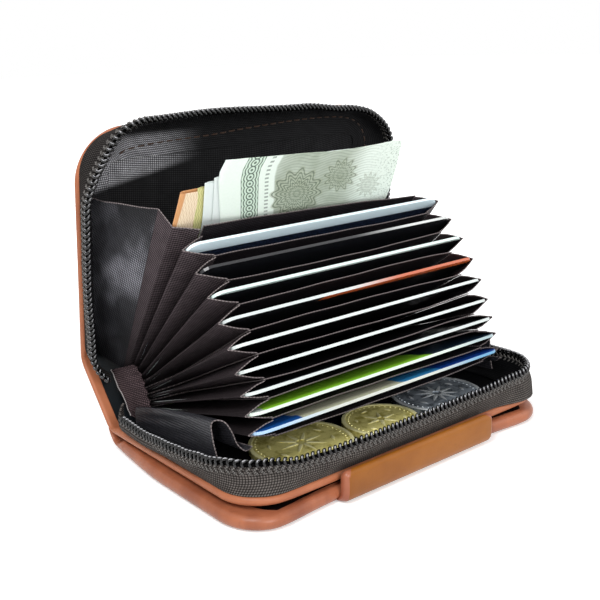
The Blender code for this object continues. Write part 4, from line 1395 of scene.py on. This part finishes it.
@dataclass
class Linings:
    """The cloth inside the leaves and the spine, with the lid's top stitching.

    Each of its two sheets runs flat from a leaf's front, through the fold and
    to the middle of the spine. A facing strip covers the foot of the tape.
    """

    chains: tuple[ZipChain, ZipChain]
    cover: LeatherCover = field(default_factory=LeatherCover)
    inset: float = 2.6
    stitch_length: float = 1.9
    stitch_gap: float = 1.0
    stitch_line: tuple[Pair, ...] = (
        (-39.6, -57.6), (-37.0, -58.7), (-27.0, -59.6), (-11.0, -60.1), (0.0, -60.9), (21.0, -61.9),
        (36.0, -61.4), (43.5, -59.0), (47.2, -54.0), (47.8, -46.0), (47.8, -16.0),
    )

    def sheet(self, lid: bool) -> np.ndarray:
        """Return one lining as a grid."""
        w = self.cover.wallet
        near = [self.inset + step for step in (0.0, 0.4, 0.9, 1.6, 2.5, 3.6, 5.0, 6.6, 8.4, 10.4)]
        runs = near + list(np.linspace(near[-1] + 2.0, float(distances(self.cover.path(lid))[-1]), 38))
        radius = w.leaf_corner - self.inset
        half = w.half - self.inset
        rows = []
        for run, (y, z, normal_y, normal_z) in zip(runs, self.cover.inner(lid, 0.4, runs)):
            front = run - self.inset
            wide = half
            if front <= radius:
                wide = half - radius + math.sqrt(max(radius**2 - (radius - front) ** 2, 0.0))
            row = []
            for x in np.linspace(-1.0, 1.0, 61) * wide:
                lift = 0.16 * abs(ripple(x * 1.5, run * 1.5, 2.0 + lid))
                row.append((x, y + normal_y * lift, z + normal_z * lift))
            rows.append(row)
        return np.array(rows)

    def profile(self, lid: bool, out: float, up: float) -> np.ndarray:
        """Return the facing's line across the rim, as outward distances and heights."""
        w, chain = self.cover.wallet, self.chains[lid]
        level = w.lid_leather if lid else w.base_leather
        reach = 7.4 if lid else 3.4
        top = chain.flare + out - 0.45
        foot = ((-1.0, level + 1.0), (-reach, level + 0.85))
        return bezier([(top, chain.tape_top + up - 0.6), (top - 1.2, level + 2.6), *foot], 9)

    def facing(self, lid: bool) -> np.ndarray:
        """Return the strip between the tape's top and the flat lining as a grid."""
        chain = self.chains[lid]
        columns = []
        for distance in np.arange(0.0, sum(chain.runs()) + 0.6, 1.2):
            column = []
            for n, (across, height) in enumerate(self.profile(lid, *chain.sway(distance))):
                wave = 0.12 * ripple(distance * 1.8, n * 4.0, 7.0 + lid)
                column.append(chain.place(distance, across, height + wave))
            columns.append(column)
        return chain.leaf.world(np.array(columns).transpose(1, 0, 2))

    def stitches(self, parts: Parts, finish: int) -> None:
        """Add the dashed line of thread that follows the lid's rim."""
        w = self.cover.wallet
        line = through(self.stitch_line, 6)
        runs = distances(line)
        pitch = self.stitch_length + self.stitch_gap
        plain = self.profile(True, 0.0, 0.0)[::-1]
        for n in range(int(runs[-1] / pitch)):
            found = []
            for share, sink in ((0.0, -0.1), (0.2, 0.25), (0.8, 0.25), (1.0, -0.1)):
                run = n * pitch + self.stitch_length * share
                x, y = (float(np.interp(run, runs, line[:, k])) for k in (0, 1))
                rim = min(w.half - abs(x), w.leaf_depth + y)
                if abs(x) > w.half - w.leaf_corner and y < w.leaf_corner - w.leaf_depth:
                    over = abs(x) - w.half + w.leaf_corner
                    rim = w.leaf_corner - math.hypot(over, w.leaf_corner - w.leaf_depth - y)
                level = float(np.interp(self.chains[1].inset - rim, plain[:, 0], plain[:, 1]))
                found.append((x, y, -(level + sink)))
            parts.tube(w.lid.world(found), 0.2, 5, finish)

    def build(self) -> None:
        """Make the two linings and their facings."""
        for name, lid, cloth in (("base", False, TRAY_CLOTH), ("lid", True, LINING_CLOTH)):
            grid = self.sheet(lid)
            flat = self.cover.wallet.leaf_depth - 4.5
            parts = Parts()
            parts.slab(grid, 0.25, [1 if run > flat else 0 for run in distances(grid[:, 30]) + self.inset])
            parts.slab(self.facing(lid), 0.24, 2, start=(0.0, 0.0))
            finishes: list[Finish] = [cloth, SMOOTH_CLOTH, cloth]
            if lid:
                self.stitches(parts, 3)
                finishes.append(STITCH_THREAD)
            piece = parts.build(f"{name}_lining_cloth", finishes, 60)
            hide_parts(*((f"{name}_lining", "spine_lining") if lid else (f"{name}_lining",)))
            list(self.cover.hinge(lid))
            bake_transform(piece)
        LOG.info("linings")


@dataclass
class Accordion:
    """The ten dividers, the nine card pockets between them and their side folds."""

    wallet: Wallet = field(default_factory=Wallet)
    opened: tuple[float, ...] = (9.8, 12.8, 16.8, 20.2, 25.3, 30.2, 36.3, 41.8, 48.1, 54.2)
    pitch: float = 1.3
    height: float = 52.8
    mouth_half: float = 37.0
    crease_half: float = 43.9
    card_half: float = 42.8
    seam: float = 4.0
    taper: float = 12.0
    cloth: float = 0.28
    pleat_cloth: float = 0.24
    side_cloth: float = 0.26
    binding_cloth: float = 0.3
    lip: float = 0.15
    pleat_lip: float = 0.14
    root_behind: float = 3.3
    root_height: float = 3.4
    # The left coin tray side's mouth and root, from the wall inwards, as a positive X, Y and Z.
    coin_mouth: tuple[Triple, ...] = (
        (48.4, -28.8, 10.5), (48.7, -27.4, 15.0), (48.8, -26.8, 18.0), (48.6, -26.2, 20.6),
        (47.9, -26.5, 21.7), (47.0, -28.0, 22.0), (46.3, -29.3, 21.3), (45.5, -30.2, 19.2),
        (44.8, -30.9, 16.4), (44.2, -32.8, 15.2), (43.8, -34.2, 15.8), (43.8, -35.4, 17.0),
    )
    coin_root: tuple[Triple, ...] = (
        (46.6, 14.0, 7.9), (46.6, 14.0, 9.0), (46.6, 14.0, 10.4), (46.5, 13.9, 11.8),
        (46.2, 13.9, 12.6), (45.9, 14.0, 12.6), (45.6, 14.2, 12.0), (45.2, 14.4, 11.0),
        (44.8, 14.6, 10.0), (44.5, 14.6, 9.4), (44.2, 14.8, 9.2), (44.0, 15.2, 9.3),
    )
    coin_floor: float = 7.75
    # The binding's two long edges, by the spine and towards the pockets.
    binding_back: tuple[Triple, ...] = (
        (46.2, 17.6, 9.2), (46.2, 18.8, 11.2), (46.2, 20.4, 13.8), (46.2, 23.0, 16.2), (46.2, 25.2, 18.4),
        (46.2, 26.8, 20.0),
    )
    binding_front: tuple[Triple, ...] = (
        (44.6, 8.4, 9.4), (44.7, 8.6, 12.6), (44.8, 9.6, 16.2), (44.8, 11.2, 19.4), (44.8, 13.0, 22.0),
        (44.8, 15.2, 24.2),
    )

    def folds(self) -> list[Fold]:
        """Return the dividers' frames, from the tenth at the bottom to the first."""
        y = self.wallet.fold_y - self.root_behind
        z = self.wallet.fold_z + self.root_height
        found = []
        for angle in self.opened:
            found.append(Fold(y, z, angle))
            y += self.pitch * math.sin(math.radians(angle))
            z += self.pitch * math.cos(math.radians(angle))
        return found

    def half(self, reach: float) -> float:
        """Return half a divider's width at a reach from its seam."""
        wing = self.card_half + 0.15
        share = smooth((reach - self.seam) / self.taper)
        return wing + (self.mouth_half - wing) * share

    def divider(self, fold: Fold, number: int) -> bpy.types.Object:
        """Make one divider: ribbed cloth with a folded mouth that sags a little."""
        rows = []
        reaches = np.linspace(0.0, self.height - 2.0, 20)
        # The first divider's mouth stands higher at its left.
        tall = 1.6 if number == 1 else 0.0
        for reach in (*reaches, self.height - 0.8, self.height):
            share = smooth(reach / self.height)
            row = []
            for part in np.linspace(-1.0, 1.0, 41):
                x = part * self.half(reach)
                bow = 0.55 * share * (1 - part**2) * math.sin(1.7 * number + 1.2 * part)
                wave = 0.16 * share * ripple(x * 1.4, reach, float(number))
                row.append((x, -reach - tall * (1 - part) * share, bow + wave))
            rows.append(row)
        parts = Parts()
        grid = fold.world(rows)
        parts.slab(grid, self.cloth, 0, 1)
        parts.tube(grid[-1] + (grid[-1] - grid[-2]) * 0.1, self.lip, 5, 1)
        return parts.build(f"divider_{number:02d}_cloth", [POCKET_CLOTH, CUT_EDGE], 50)

    def side_profile(self, reach: float, room: float, puff: float) -> list[Pair]:
        """Return one pocket side's V across, as X and the height off its middle.

        Args:
            reach: Its distance from the seam.
            room: Half the gap between the dividers there.
            puff: How far the cloth bellies.

        Returns:
            Nine points, from the lower divider round the crease to the upper one.
        """
        share = reach / self.height
        tuck = max(room - 0.38, 0.18)
        inner = self.card_half + 0.3
        if reach > 5:
            inner = min(self.half(reach) - 0.5, self.card_half - 0.4)
        outer = self.crease_half - 0.1
        near, far = inner + (outer - inner) * 0.35, inner + (outer - inner) * 0.7
        near_rise, far_rise = tuck * 0.66 + 0.25 * share, tuck * 0.34 + 0.12 * share
        lower = [(inner, -tuck), (near, -near_rise + puff), (far, -far_rise + puff), (outer, -0.1)]
        upper = [(outer, 0.1), (far, far_rise + puff), (near, near_rise + puff), (inner, tuck)]
        return [*lower, (outer + 0.12, 0.0), *upper]

    def side_fold(self, lower: Fold, spread: float, number: int) -> bpy.types.Object:
        """Make one pocket's folded sides and its bottom."""
        slope = math.tan(math.radians(spread / 2))
        middle = Fold(*lower.line(0.0, self.pitch / 2), lower.opened + spread / 2)
        parts = Parts()
        for side in (-1, 1):
            rows = []
            for reach in (0.2, 2.0, *np.linspace(4.0, self.height, 15)):
                puff = 0.35 * reach / self.height * ripple(reach * 2.0, number * 7.0, side + number) * 0.5
                profile = self.side_profile(reach, self.pitch / 2 + reach * slope, puff)
                rows.append([(side * x, -reach, z) for x, z in profile])
            parts.hemmed(middle.world(rows), self.pleat_cloth, self.pleat_lip)
        across = np.linspace(-self.card_half, self.card_half, 9)
        parts.slab(middle.world([[(x, -0.25, z) for x in across] for z in (-0.5, 0.0, 0.5)]), 0.22)
        return parts.build(f"pocket_{number}_side_cloth", [PLEAT_CLOTH, CUT_EDGE], 35)

    def note_pleat(self, first: Fold, side: int, reach: float, lift: float) -> list[np.ndarray]:
        """Return one row of the note space's pleats, from the divider outwards."""
        share = reach / (self.height * 0.95) * lift
        points = (
            (self.half(reach) + 0.3, 0.25),
            (self.half(reach) * 0.5 + self.crease_half * 0.5, 0.3 + 1.0 * share),
            (self.crease_half, 0.78 + 1.56 * share),
            (self.crease_half + 0.1, 1.0 + 3.4 * share),
            (self.crease_half + 0.4, 1.82 + 6.6 * share),
        )
        return [first.world((side * x, -reach, off)) for x, off in points]

    def note_panel(self, edge: np.ndarray, side: int, reach: float) -> list[np.ndarray]:
        """Return one row of the note space's panels, from a pleat's edge to the lid."""
        w = self.wallet
        run = max(w.leaf_depth * 0.08 + (edge[2] - w.lid.z) * 0.92, 4.0)
        end = w.lid.world((side * (w.half - 3.0), -run, -(w.lid_leather + 1.4)))
        loose = 0.35 + 0.65 * reach / (self.height * 0.95)
        panel = []
        for t in np.linspace(0.0, 1.0, 9):
            creased = 1.6 + 1.9 * ripple(t * 34.0, reach * 2.8, 8.0 + side)
            sag = math.sin(math.pi * t) * creased * loose
            panel.append(edge * (1 - t) + end * t + np.array((side * 0.35 * sag, 0.0, -0.25 * sag)))
        return panel

    def note_sides(self, first: Fold) -> tuple[bpy.types.Object, bpy.types.Object]:
        """Make the note space's side folds: the pleats by the divider and the lid's panels."""
        near, far = Parts(), Parts()
        # On the right the folds lie flat behind the first divider, and on the left they stand open.
        for side, top, lift in ((-1, 1.035, 1.0), (1, 0.80, 0.45)):
            reaches = np.linspace(1.5, self.height * top, 18)
            pleats = [self.note_pleat(first, side, reach, lift) for reach in reaches]
            panels = [self.note_panel(row[-1], side, reach) for row, reach in zip(pleats, reaches)]
            near.hemmed(pleats, self.side_cloth, self.pleat_lip)
            far.hemmed(panels, self.side_cloth, self.lip)
        return (
            near.build("note_side_pleats", [PLEAT_CLOTH, CUT_EDGE], 35),
            far.build("note_side_panels", [PANEL_CLOTH, CUT_EDGE], 35),
        )

    def coin_sides(self) -> bpy.types.Object:
        """Make the coin tray's side folds, whose mouths roll over in an S."""
        ends, roots = through(self.coin_mouth, 4), through(self.coin_root, 4)
        parts = Parts()
        for side in (-1, 1):
            rows = []
            for share in np.linspace(0.0, 1.0, 22):
                row = roots * (1 - share) + ends * share
                bow = math.sin(math.pi * share)
                for n, point in enumerate(row):
                    crease = 0.35 * bow * ripple(n * 5.0, share * 40.0, 4.0 + side)
                    point[0] = side * (point[0] + crease)
                    rise = 0.5 * crease + 0.8 * bow * math.sin(math.pi * n / len(row))
                    point[2] = max(point[2] + rise, self.coin_floor)
                rows.append(row)
            parts.hemmed(rows, self.pleat_cloth, self.lip)
        return parts.build("coin_side_cloth", [SIDE_CLOTH, CUT_EDGE], 50)

    def binding(self) -> bpy.types.Object:
        """Make the woven binding that gathers the pockets' ends, and its pale edge cord."""
        back, front = through(self.binding_back, 4), through(self.binding_front, 4)
        parts = Parts()
        for side in (-1, 1):
            rows = []
            for n, (low, high) in enumerate(zip(back, front)):
                row = []
                for share in np.linspace(0.0, 1.0, 9):
                    point = low * (1 - share) + high * share
                    dent = 0.35 * math.sin(n * 2.2 + 1.0) * share + 0.25 * ripple(share * 20, n * 5, side)
                    point[0] = side * (point[0] + 0.6 * math.sin(math.pi * share) + dent)
                    row.append(point)
                rows.append(row)
            grid = np.array(rows)
            parts.slab(grid, self.binding_cloth)
            parts.tube(grid[:, 0], self.binding_cloth, 6, 1)
        return parts.build("accordion_binding", [BINDING_CLOTH, PIPING_CORD], 50)

    def build(self) -> None:
        """Make all the cloth of the accordion, and hang all but the binding on its bodies."""
        folds = self.folds()
        for n, fold in enumerate(folds):
            number = 10 - n
            piece = self.divider(fold, number)
            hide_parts(f"divider_{number:02d}")
            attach(piece, f"divider_{number:02d}")
            fold.up()
            fold.point()
            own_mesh(piece)
            if n == 9:
                break
            spread = self.opened[n + 1] - fold.opened
            sides = self.side_fold(fold, spread, 9 - n)
            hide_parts(f"pocket_gusset_{9 - n}")
            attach(sides, f"divider_{number:02d}")
            f"divider_{number - 1:02d}_fold"
            fold.up()
            fold.point()
            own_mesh(sides)
        LOG.info("dividers and pockets")
        first, w = folds[-1], self.wallet
        pleats, panels = self.note_sides(first)
        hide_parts("note_gusset")
        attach(pleats, "divider_01")
        first.up()
        first.point()
        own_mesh(pleats)
        inner = w.lid.world((0.0, 0.0, -w.lid_leather - 0.9)) * MM
        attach(panels, "lid")
        w.lid.up()
        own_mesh(panels)
        coins = self.coin_sides()
        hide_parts("coin_gusset")
        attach(coins, "base")
        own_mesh(coins)
        binding = self.binding()
        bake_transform(binding)
        LOG.info("side folds and binding")


# What each card shows, from the first at the top: the X where each colour begins. The near-black faces of
# cards 3, 5, 6 and 7 are painted shade deep in their pockets; cards 3 and 7 show their own pale colour in
# the strip at the top.
CARD_PRINTS: dict[int, dict[str, Any]] = {
    1: {
        "fields": ((-50.0, "#151C2C"),), "fleck": "#2C3A55",
        "strips": ((-50.0, "#E2F7FF"),), "strip_mm": 3.2, "core": ((-50.0, "#EAFAFF"),),
    },
    # Card 2's edge is near-black left of X 16, as painted shade, and pale beyond.
    2: {"core": ((-50.0, "#1B1B1F"), (16.0, "#C9CDCB"))},
    3: {"strips": ((-50.0, "#B9CCC8"),), "strip_mm": 0.9, "core": ((-50.0, "#CFE0DC"),)},
    4: {
        "strips": ((-50.0, "#17181C"), (-10.0, "#D0602C")), "strip_mm": 2.6,
        "core": ((-50.0, "#C4CCCB"), (4.0, "#B5562F")),
    },
    5: {},
    6: {"fields": ((-50.0, "#121317"), (8.0, "#3A241E"))},
    7: {"strips": ((-50.0, "#A9B8BA"),), "strip_mm": 0.8},
    8: {
        "fields": ((-50.0, "#CAD6D0"), (-36.0, "#A4F03C"), (19.0, "#16283A")),
        "core": ((-50.0, "#D6E2D8"), (30.0, "#9FB6BC")),
    },
    9: {
        "fields": ((-50.0, "#1A56A8"), (-26.0, "#CBCAB2"), (8.0, "#2F86C4"), (22.0, "#123F96")),
        "core": ((-50.0, "#A9CBEA"), (-28.0, "#D2D7CE"), (26.0, "#5FA4CE")),
    },
}


def paint(name: str, finish: Finish) -> None:
    """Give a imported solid, which keeps its shape, its finish."""
    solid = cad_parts[name]
    solid.data.materials.clear()
    solid.data.materials.append(finish.material())


@dataclass
class Cards:
    """The nine cards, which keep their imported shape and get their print."""

    accordion: Accordion = field(default_factory=Accordion)

    def build(self) -> None:
        """Give each card's solid its printed finish."""
        folds = self.accordion.folds()
        for number, look in CARD_PRINTS.items():
            below, above = folds[9 - number], folds[10 - number]
            root = tuple(float(c) for c in below.line(0.0, self.accordion.pitch / 2))
            lean = (below.opened + above.opened) / 2
            name = f"card_{number}_pvc_laminated"
            paint(f"card_{number}", CardPrint(name, "#E8ECEA", 0.32, root=root, lean=lean, **look))
        LOG.info("cards")


@dataclass
class Notes:
    """The folded banknotes: a wide front note and the fold edges of those behind it.

    Offsets are measured up from the first divider, and grow towards the top,
    so that the bundle leans back towards the lid.
    """

    accordion: Accordion = field(default_factory=Accordion)
    raised: float = 13.0
    mouth: float = 53.0
    straight: float = 38.0
    climb_height: float = 16.0
    pressed_x: float = -37.2
    # A note that leans further than this draws in again at its very top, by this much.
    wide_shear: float = 4.0
    top_return: float = 4.0
    paper: float = 0.12
    # X, offset and reach at the top of the front note and of its back half.
    front: tuple[Triple, ...] = (
        (-30.2, 3.2, 73.4), (-29.6, 2.9, 73.6), (-26.5, 2.8, 73.6), (-12.0, 2.7, 72.9),
        (4.0, 2.7, 72.3), (15.0, 2.7, 72.6), (24.4, 2.8, 72.9), (26.8, 2.9, 72.4),
    )
    front_back: tuple[Triple, ...] = (
        (-30.2, 3.25, 73.3), (-29.0, 3.4, 73.2), (-16.0, 3.3, 72.2), (6.0, 3.3, 71.6),
    )

    def leaf(
        self, parts: Parts, across: Sequence[Triple], finish: int, shear: float = 0.0, tuck: float = 0.0
    ) -> None:
        """Add one sheet of paper as a curve across, drawn out up the pocket.

        Args:
            parts: Where it goes.
            across: X at the pocket's mouth, and offset and reach at the sheet's
                top, of points along it.
            finish: Its print.
            shear: How far its left end leans out to the left towards the top.
            tuck: How far its right end draws in towards the top.
        """
        line = through(across, 7)
        start = line[:, 0].min()
        span = line[:, 0].max() - start
        rows = []
        for share in np.linspace(0.0, 1.0, 20):
            row = []
            for x, off, top in line:
                reach = self.raised + (top - self.raised) * share
                part = (x - start) / span
                climb = max((reach - self.mouth) / self.climb_height, 0.0)
                sheared = min(climb, 1.0) * shear
                if shear > self.wide_shear:
                    sheared -= max(climb - 1.0, 0.0) * self.top_return
                left = max(1 - part / 0.6, 0.0) * sheared
                right = max(part - 0.4, 0.0) / 0.6 * climb**1.5 * tuck
                wave = 0.2 * ripple(x * 1.6, reach * 1.3, 6.0 + finish) * share
                low = 0.5 + 0.2 * off
                risen = max((reach - self.straight) / (top - self.straight), 0.0) ** 1.5
                # Below the mouth the bundle is pressed inside the pocket's sides.
                pressed = max(self.pressed_x - x, 0.0) * smooth((self.mouth - reach) / 5.0)
                row.append((x - left - right + pressed, -reach, max(low + (off - low) * risen + wave, 0.3)))
            rows.append(row)
        grid = self.accordion.folds()[-1].world(rows)
        parts.slab(grid, self.paper, finish, start=(0.0, self.raised))

    def fold(self, parts: Parts, place: Triple, top: float, gap: float, reach: float, finish: int) -> None:
        """Add one folded note: its fold at the left, and both halves beside it.

        Args:
            parts: Where it goes.
            place: X of the fold at the mouth, its lean to the left, and its offset.
            top: How far its top reaches from the seam.
            gap: Half the distance between the two halves.
            reach: How far the halves run to the right.
            finish: Its print.
        """
        x, shear, level = place
        turn = (
            (reach, gap, 0.6), (2.2, gap, 0.2), (0.5, gap * 0.8, 0.0), (0.0, 0.0, 0.0),
            (0.5, -gap * 0.8, 0.0), (2.2, -gap, 0.0), (reach, -gap, 0.4),
        )
        across = [(x + over, level + off, top + rise) for over, off, rise in turn]
        self.leaf(parts, across, finish, shear)

    def build(self) -> None:
        """Make the bundle."""
        parts = Parts()
        self.leaf(parts, self.front, 0, 5.2, 3.0)
        self.leaf(parts, self.front_back, 1, 5.2)
        self.fold(parts, (-32.6, 3.4, 3.5), 67.9, 0.22, 14.0, 1)
        self.fold(parts, (-35.3, 2.8, 3.95), 66.2, 0.22, 14.0, 1)
        self.fold(parts, (-37.6, 1.5, 4.35), 64.3, 0.22, 12.0, 3)
        self.fold(parts, (-43.6, -0.8, 4.8), 63.4, 0.4, 14.0, 2)
        piece = parts.build("note_bundle_paper", NOTE_FINISHES, 60)
        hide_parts("note_bundle")
        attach(piece, "notes")
        first = self.accordion.folds()[-1]
        first.up()
        tuple(first.world((0.0, 0.0, 0.5)) * MM)
        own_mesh(piece)
        LOG.info("notes")


def circle(centre: Pair, radius: float, turn: float, z: float) -> Triple:
    """Return a point on a level circle, at an angle from X."""
    return (centre[0] + radius * math.cos(turn), centre[1] + radius * math.sin(turn), z)


@dataclass
class Coins:
    """Three struck coins with a reeded rim, a bead ring and a plain star."""

    thickness: float = 1.8
    reeds: int = 96
    reed_depth: float = 0.06
    bead_inset: float = 1.9

    def blank(self, parts: Parts, radius: float, floor: float, centre: Pair) -> None:
        """Add the coin's body, turned from a profile and reeded at its edge."""
        top = self.thickness
        profile = (
            (0.0, 0.0), (radius - 0.25, 0.0), (radius, 0.2), (radius, top - 0.2), (radius - 0.25, top),
            (radius - 1.0, top), (radius - 1.2, top - 0.25), (0.0, top - 0.25),
        )
        around = self.reeds
        points = []
        for r, z in profile:
            for n in range(around):
                reed = self.reed_depth * (n % 2) if r == radius else 0.0
                points.append(circle(centre, r - reed, 2 * math.pi * n / around, floor + z))
        faces: list[tuple[int, ...]] = []
        for k in range(1, len(profile) - 2):
            for n in range(around):
                m = (n + 1) % around
                faces.append((k * around + n, k * around + m, (k + 1) * around + m, (k + 1) * around + n))
        faces.append(tuple(around + n for n in reversed(range(around))))
        faces.append(tuple((len(profile) - 2) * around + n for n in range(around)))
        parts.add(points, faces)

    def relief(self, parts: Parts, radius: float, floor: float, centre: Pair, rays: int) -> None:
        """Add the bead ring, a raised star and leaf marks to the top face."""
        level = floor + self.thickness - 0.28
        count = int(radius * 3.6)
        for n in range(count):
            x, y, _ = circle(centre, radius - self.bead_inset, 2 * math.pi * n / count, level)
            parts.tube([(x, y, level), (x, y, level + 0.16)], (0.3, 0.18))
        for n in range(rays):
            turn = 2 * math.pi * n / rays
            leaf = turn + math.pi / rays
            lengths = np.linspace(radius * 0.10, radius * 0.46, 5)
            ray = [circle(centre, r, turn, level + 0.05) for r in lengths]
            parts.tube(ray, (0.55, 0.62, 0.5, 0.34, 0.1), flat=0.45)
            arc = [circle(centre, radius * 0.62, leaf + d, level + 0.05) for d in np.linspace(-0.16, 0.16, 5)]
            parts.tube(arc, (0.1, 0.42, 0.5, 0.4, 0.1), flat=0.5)

    def build(self) -> None:
        """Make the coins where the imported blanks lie."""
        struck = (
            ("coin_large", COIN_BRASS, 8, "coin_brass"),
            ("coin_small", COIN_BRASS, 6, "coin_brass"),
            ("coin_steel", COIN_STEEL, 10, "coin_nickel"),
        )
        for name, finish, rays, slot in struck:
            low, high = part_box(name)
            centre = ((low.x + high.x) / 2 / MM, (low.y + high.y) / 2 / MM)
            radius, floor = (high.x - low.x) / 2 / MM, low.z / MM
            parts = Parts()
            self.blank(parts, radius, floor, centre)
            self.relief(parts, radius, floor, centre, rays)
            piece = parts.build(f"{name}_struck", [finish], 35)
            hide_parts(name)
            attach(piece, "base")
        LOG.info("coins")


@dataclass
class Hardware:
    """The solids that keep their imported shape: boards, magnet, keeper, slider and puller."""

    solids: tuple[tuple[str, Finish], ...] = (
        ("base_board", GREY_BOARD), ("lid_board", GREY_BOARD), ("tab_magnet", MAGNET_PLATE),
        ("base_keeper", BLACK_ZINC), ("zip_slider", BLACK_ZINC), ("zip_puller", BLACK_ZINC),
    )

    def build(self) -> None:
        """Give each of these solids its finish."""
        for name, finish in self.solids:
            paint(name, finish)
        LOG.info("hardware")


@dataclass
class Studio:
    """The white table, the lamps and the camera of the photograph."""

    azimuth: float = -38.54
    elevation: float = 15.65
    roll: float = -2.09
    distance: float = 263.04
    target: Triple = (0.0, 0.0, 35.89)
    focal: float = 56.45
    table_reach: float = 3.0
    table_z: float = -0.0002
    room_light: float = 0.30
    white: str = "#FFFFFF"
    # Each lamp's place in metres, its size and its power in watts.
    lamps: tuple[tuple[str, Triple, float, float], ...] = (
        ("key_lamp", (-0.55, -0.25, 0.75), 0.35, 5.3),
        ("front_lamp", (-0.22, -0.80, 0.42), 0.35, 4.2),
        ("fill_lamp", (0.65, -0.45, 0.45), 0.6, 1.6),
        ("top_lamp", (0.05, 0.25, 0.85), 0.6, 1.6),
    )

    def camera(self) -> None:
        """Set the camera as it was fitted to the photograph."""
        a, e = math.radians(self.azimuth), math.radians(self.elevation)
        back = Vector((math.sin(a) * math.cos(e), -math.cos(a) * math.cos(e), math.sin(e)))
        right = Vector((math.cos(a), math.sin(a), 0.0))
        up = back.cross(right)
        turn = math.radians(self.roll)
        side = right * math.cos(turn) + up * math.sin(turn)
        top = -right * math.sin(turn) + up * math.cos(turn)
        lens = bpy.data.cameras.new("camera")
        lens.sensor_width = 36.0
        lens.lens = self.focal
        lens.clip_start = 0.01
        place = Matrix((side, top, back)).transposed().to_4x4()
        place.translation = (Vector(self.target) + back * self.distance) * MM
        made = placed("camera", lens)
        made.matrix_world = place
        bpy.context.scene.camera = made

    def lamp(self, name: str, place: Triple, size: float, power: float) -> None:
        """Add a square soft lamp that looks at the wallet."""
        light = bpy.data.lights.new(name, "AREA")
        light.size = size
        light.energy = power
        made = placed(name, light)
        made.location = place
        towards = Vector((0.0, 0.0, 0.03)) - Vector(place)
        made.rotation_euler = towards.to_track_quat("-Z", "Y").to_euler()

    def seen(self, tree: bpy.types.NodeTree) -> Wire:
        """Return 1 for the rays by which the camera, gloss or clear matter see the surroundings."""
        ray = node(tree, "ShaderNodeLightPath").socket.node.outputs
        camera, gloss, clear = (
            Wire(tree, ray[f"Is {kind} Ray"]) for kind in ("Camera", "Glossy", "Transmission")
        )
        return (camera + gloss + clear).do("MINIMUM", 1.0)

    def table(self) -> None:
        """Lay the pale table that takes the wallet's shadow."""
        mesh = bpy.data.meshes.new("table")
        corners = [(x, y, self.table_z) for x, y in ((-1, -1), (1, -1), (1, 1), (-1, 1))]
        reach = self.table_reach
        mesh.from_pydata([(x * reach, y * reach, z) for x, y, z in corners], [], [(0, 1, 2, 3)])
        made = placed("table", mesh)
        paper = Finish("table_paper_matt", "#F4F4F4", 0.9).material()
        tree = paper.node_tree
        shader = tree.nodes["Principled BSDF"]
        place = on_solid(tree)
        feed(tree, shader, {"Specular IOR Level": 0.1, "Normal": place.spots(0.6).emboss(0.02, 0.1)})
        # Seen straight on, the paper is lifted to white, wholly so away from the wallet's shadow.
        away = node(tree, "ShaderNodeVectorMath", {0: place}, "Value", operation="LENGTH")
        strength = (away.step(90.0, 260.0) * 0.66 + 0.34) * self.seen(tree)
        glow = node(tree, "ShaderNodeEmission", {"Color": self.white, "Strength": strength})
        total = node(tree, "ShaderNodeAddShader", {0: Wire(tree, shader.outputs[0]), 1: glow})
        feed(tree, tree.nodes["Material Output"], {"Surface": total})
        mesh.materials.append(paper)

    def world(self) -> None:
        """Light the room evenly, and show it white to the camera and to gloss."""
        world = bpy.data.worlds.new("white_room")
        bpy.context.scene.world = world
        world.use_nodes = True
        tree = world.node_tree
        ground = tree.nodes["Background"]
        feed(tree, ground, {"Color": self.white, "Strength": self.room_light})
        room = node(tree, "ShaderNodeBackground", {"Color": self.white, "Strength": 1.0})
        shown = {0: self.seen(tree), 1: Wire(tree, ground.outputs[0]), 2: room}
        mixed = node(tree, "ShaderNodeMixShader", shown)
        feed(tree, tree.nodes["World Output"], {"Surface": mixed})

    def build(self) -> None:
        """Set the whole studio."""
        self.camera()
        self.table()
        self.world()
        for lamp in self.lamps:
            self.lamp(*lamp)
        bpy.context.scene.view_settings.view_transform = "Standard"
        LOG.info("studio")


def main() -> None:
    """Build the wallet's looks, piece by piece."""
    logging.basicConfig(level=logging.INFO, format="%(name)s: %(message)s")
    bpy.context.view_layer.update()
    Studio().build()
    wallet = Wallet()
    LeatherCover(wallet).build()
    RearFlap(wallet).build()
    base_zip = ZipChain(
        "base_zip", wallet.base, 1, wallet.base_leather, 11.0, "base", BASE_STRAYS, wallet, spread=3.4
    )
    lid_zip = ZipChain(
        # The lid's tape wears the copy of the tape with painted shade.
        "lid_zip", wallet.lid, -1, wallet.lid_leather, 5.0, "lid", LID_STRAYS, wallet,
        curl=9.0, curl_in=4.5, curl_rise=1.8, bare=1.0, cloth=SHADED_TAPE_CLOTH,
    )
    base_zip.build()
    lid_zip.build()
    Linings((base_zip, lid_zip), LeatherCover(wallet)).build()
    accordion = Accordion(wallet)
    accordion.build()
    Cards(accordion).build()
    Notes(accordion).build()
    Coins().build()
    Hardware().build()


if __name__ == "__main__":
    main()
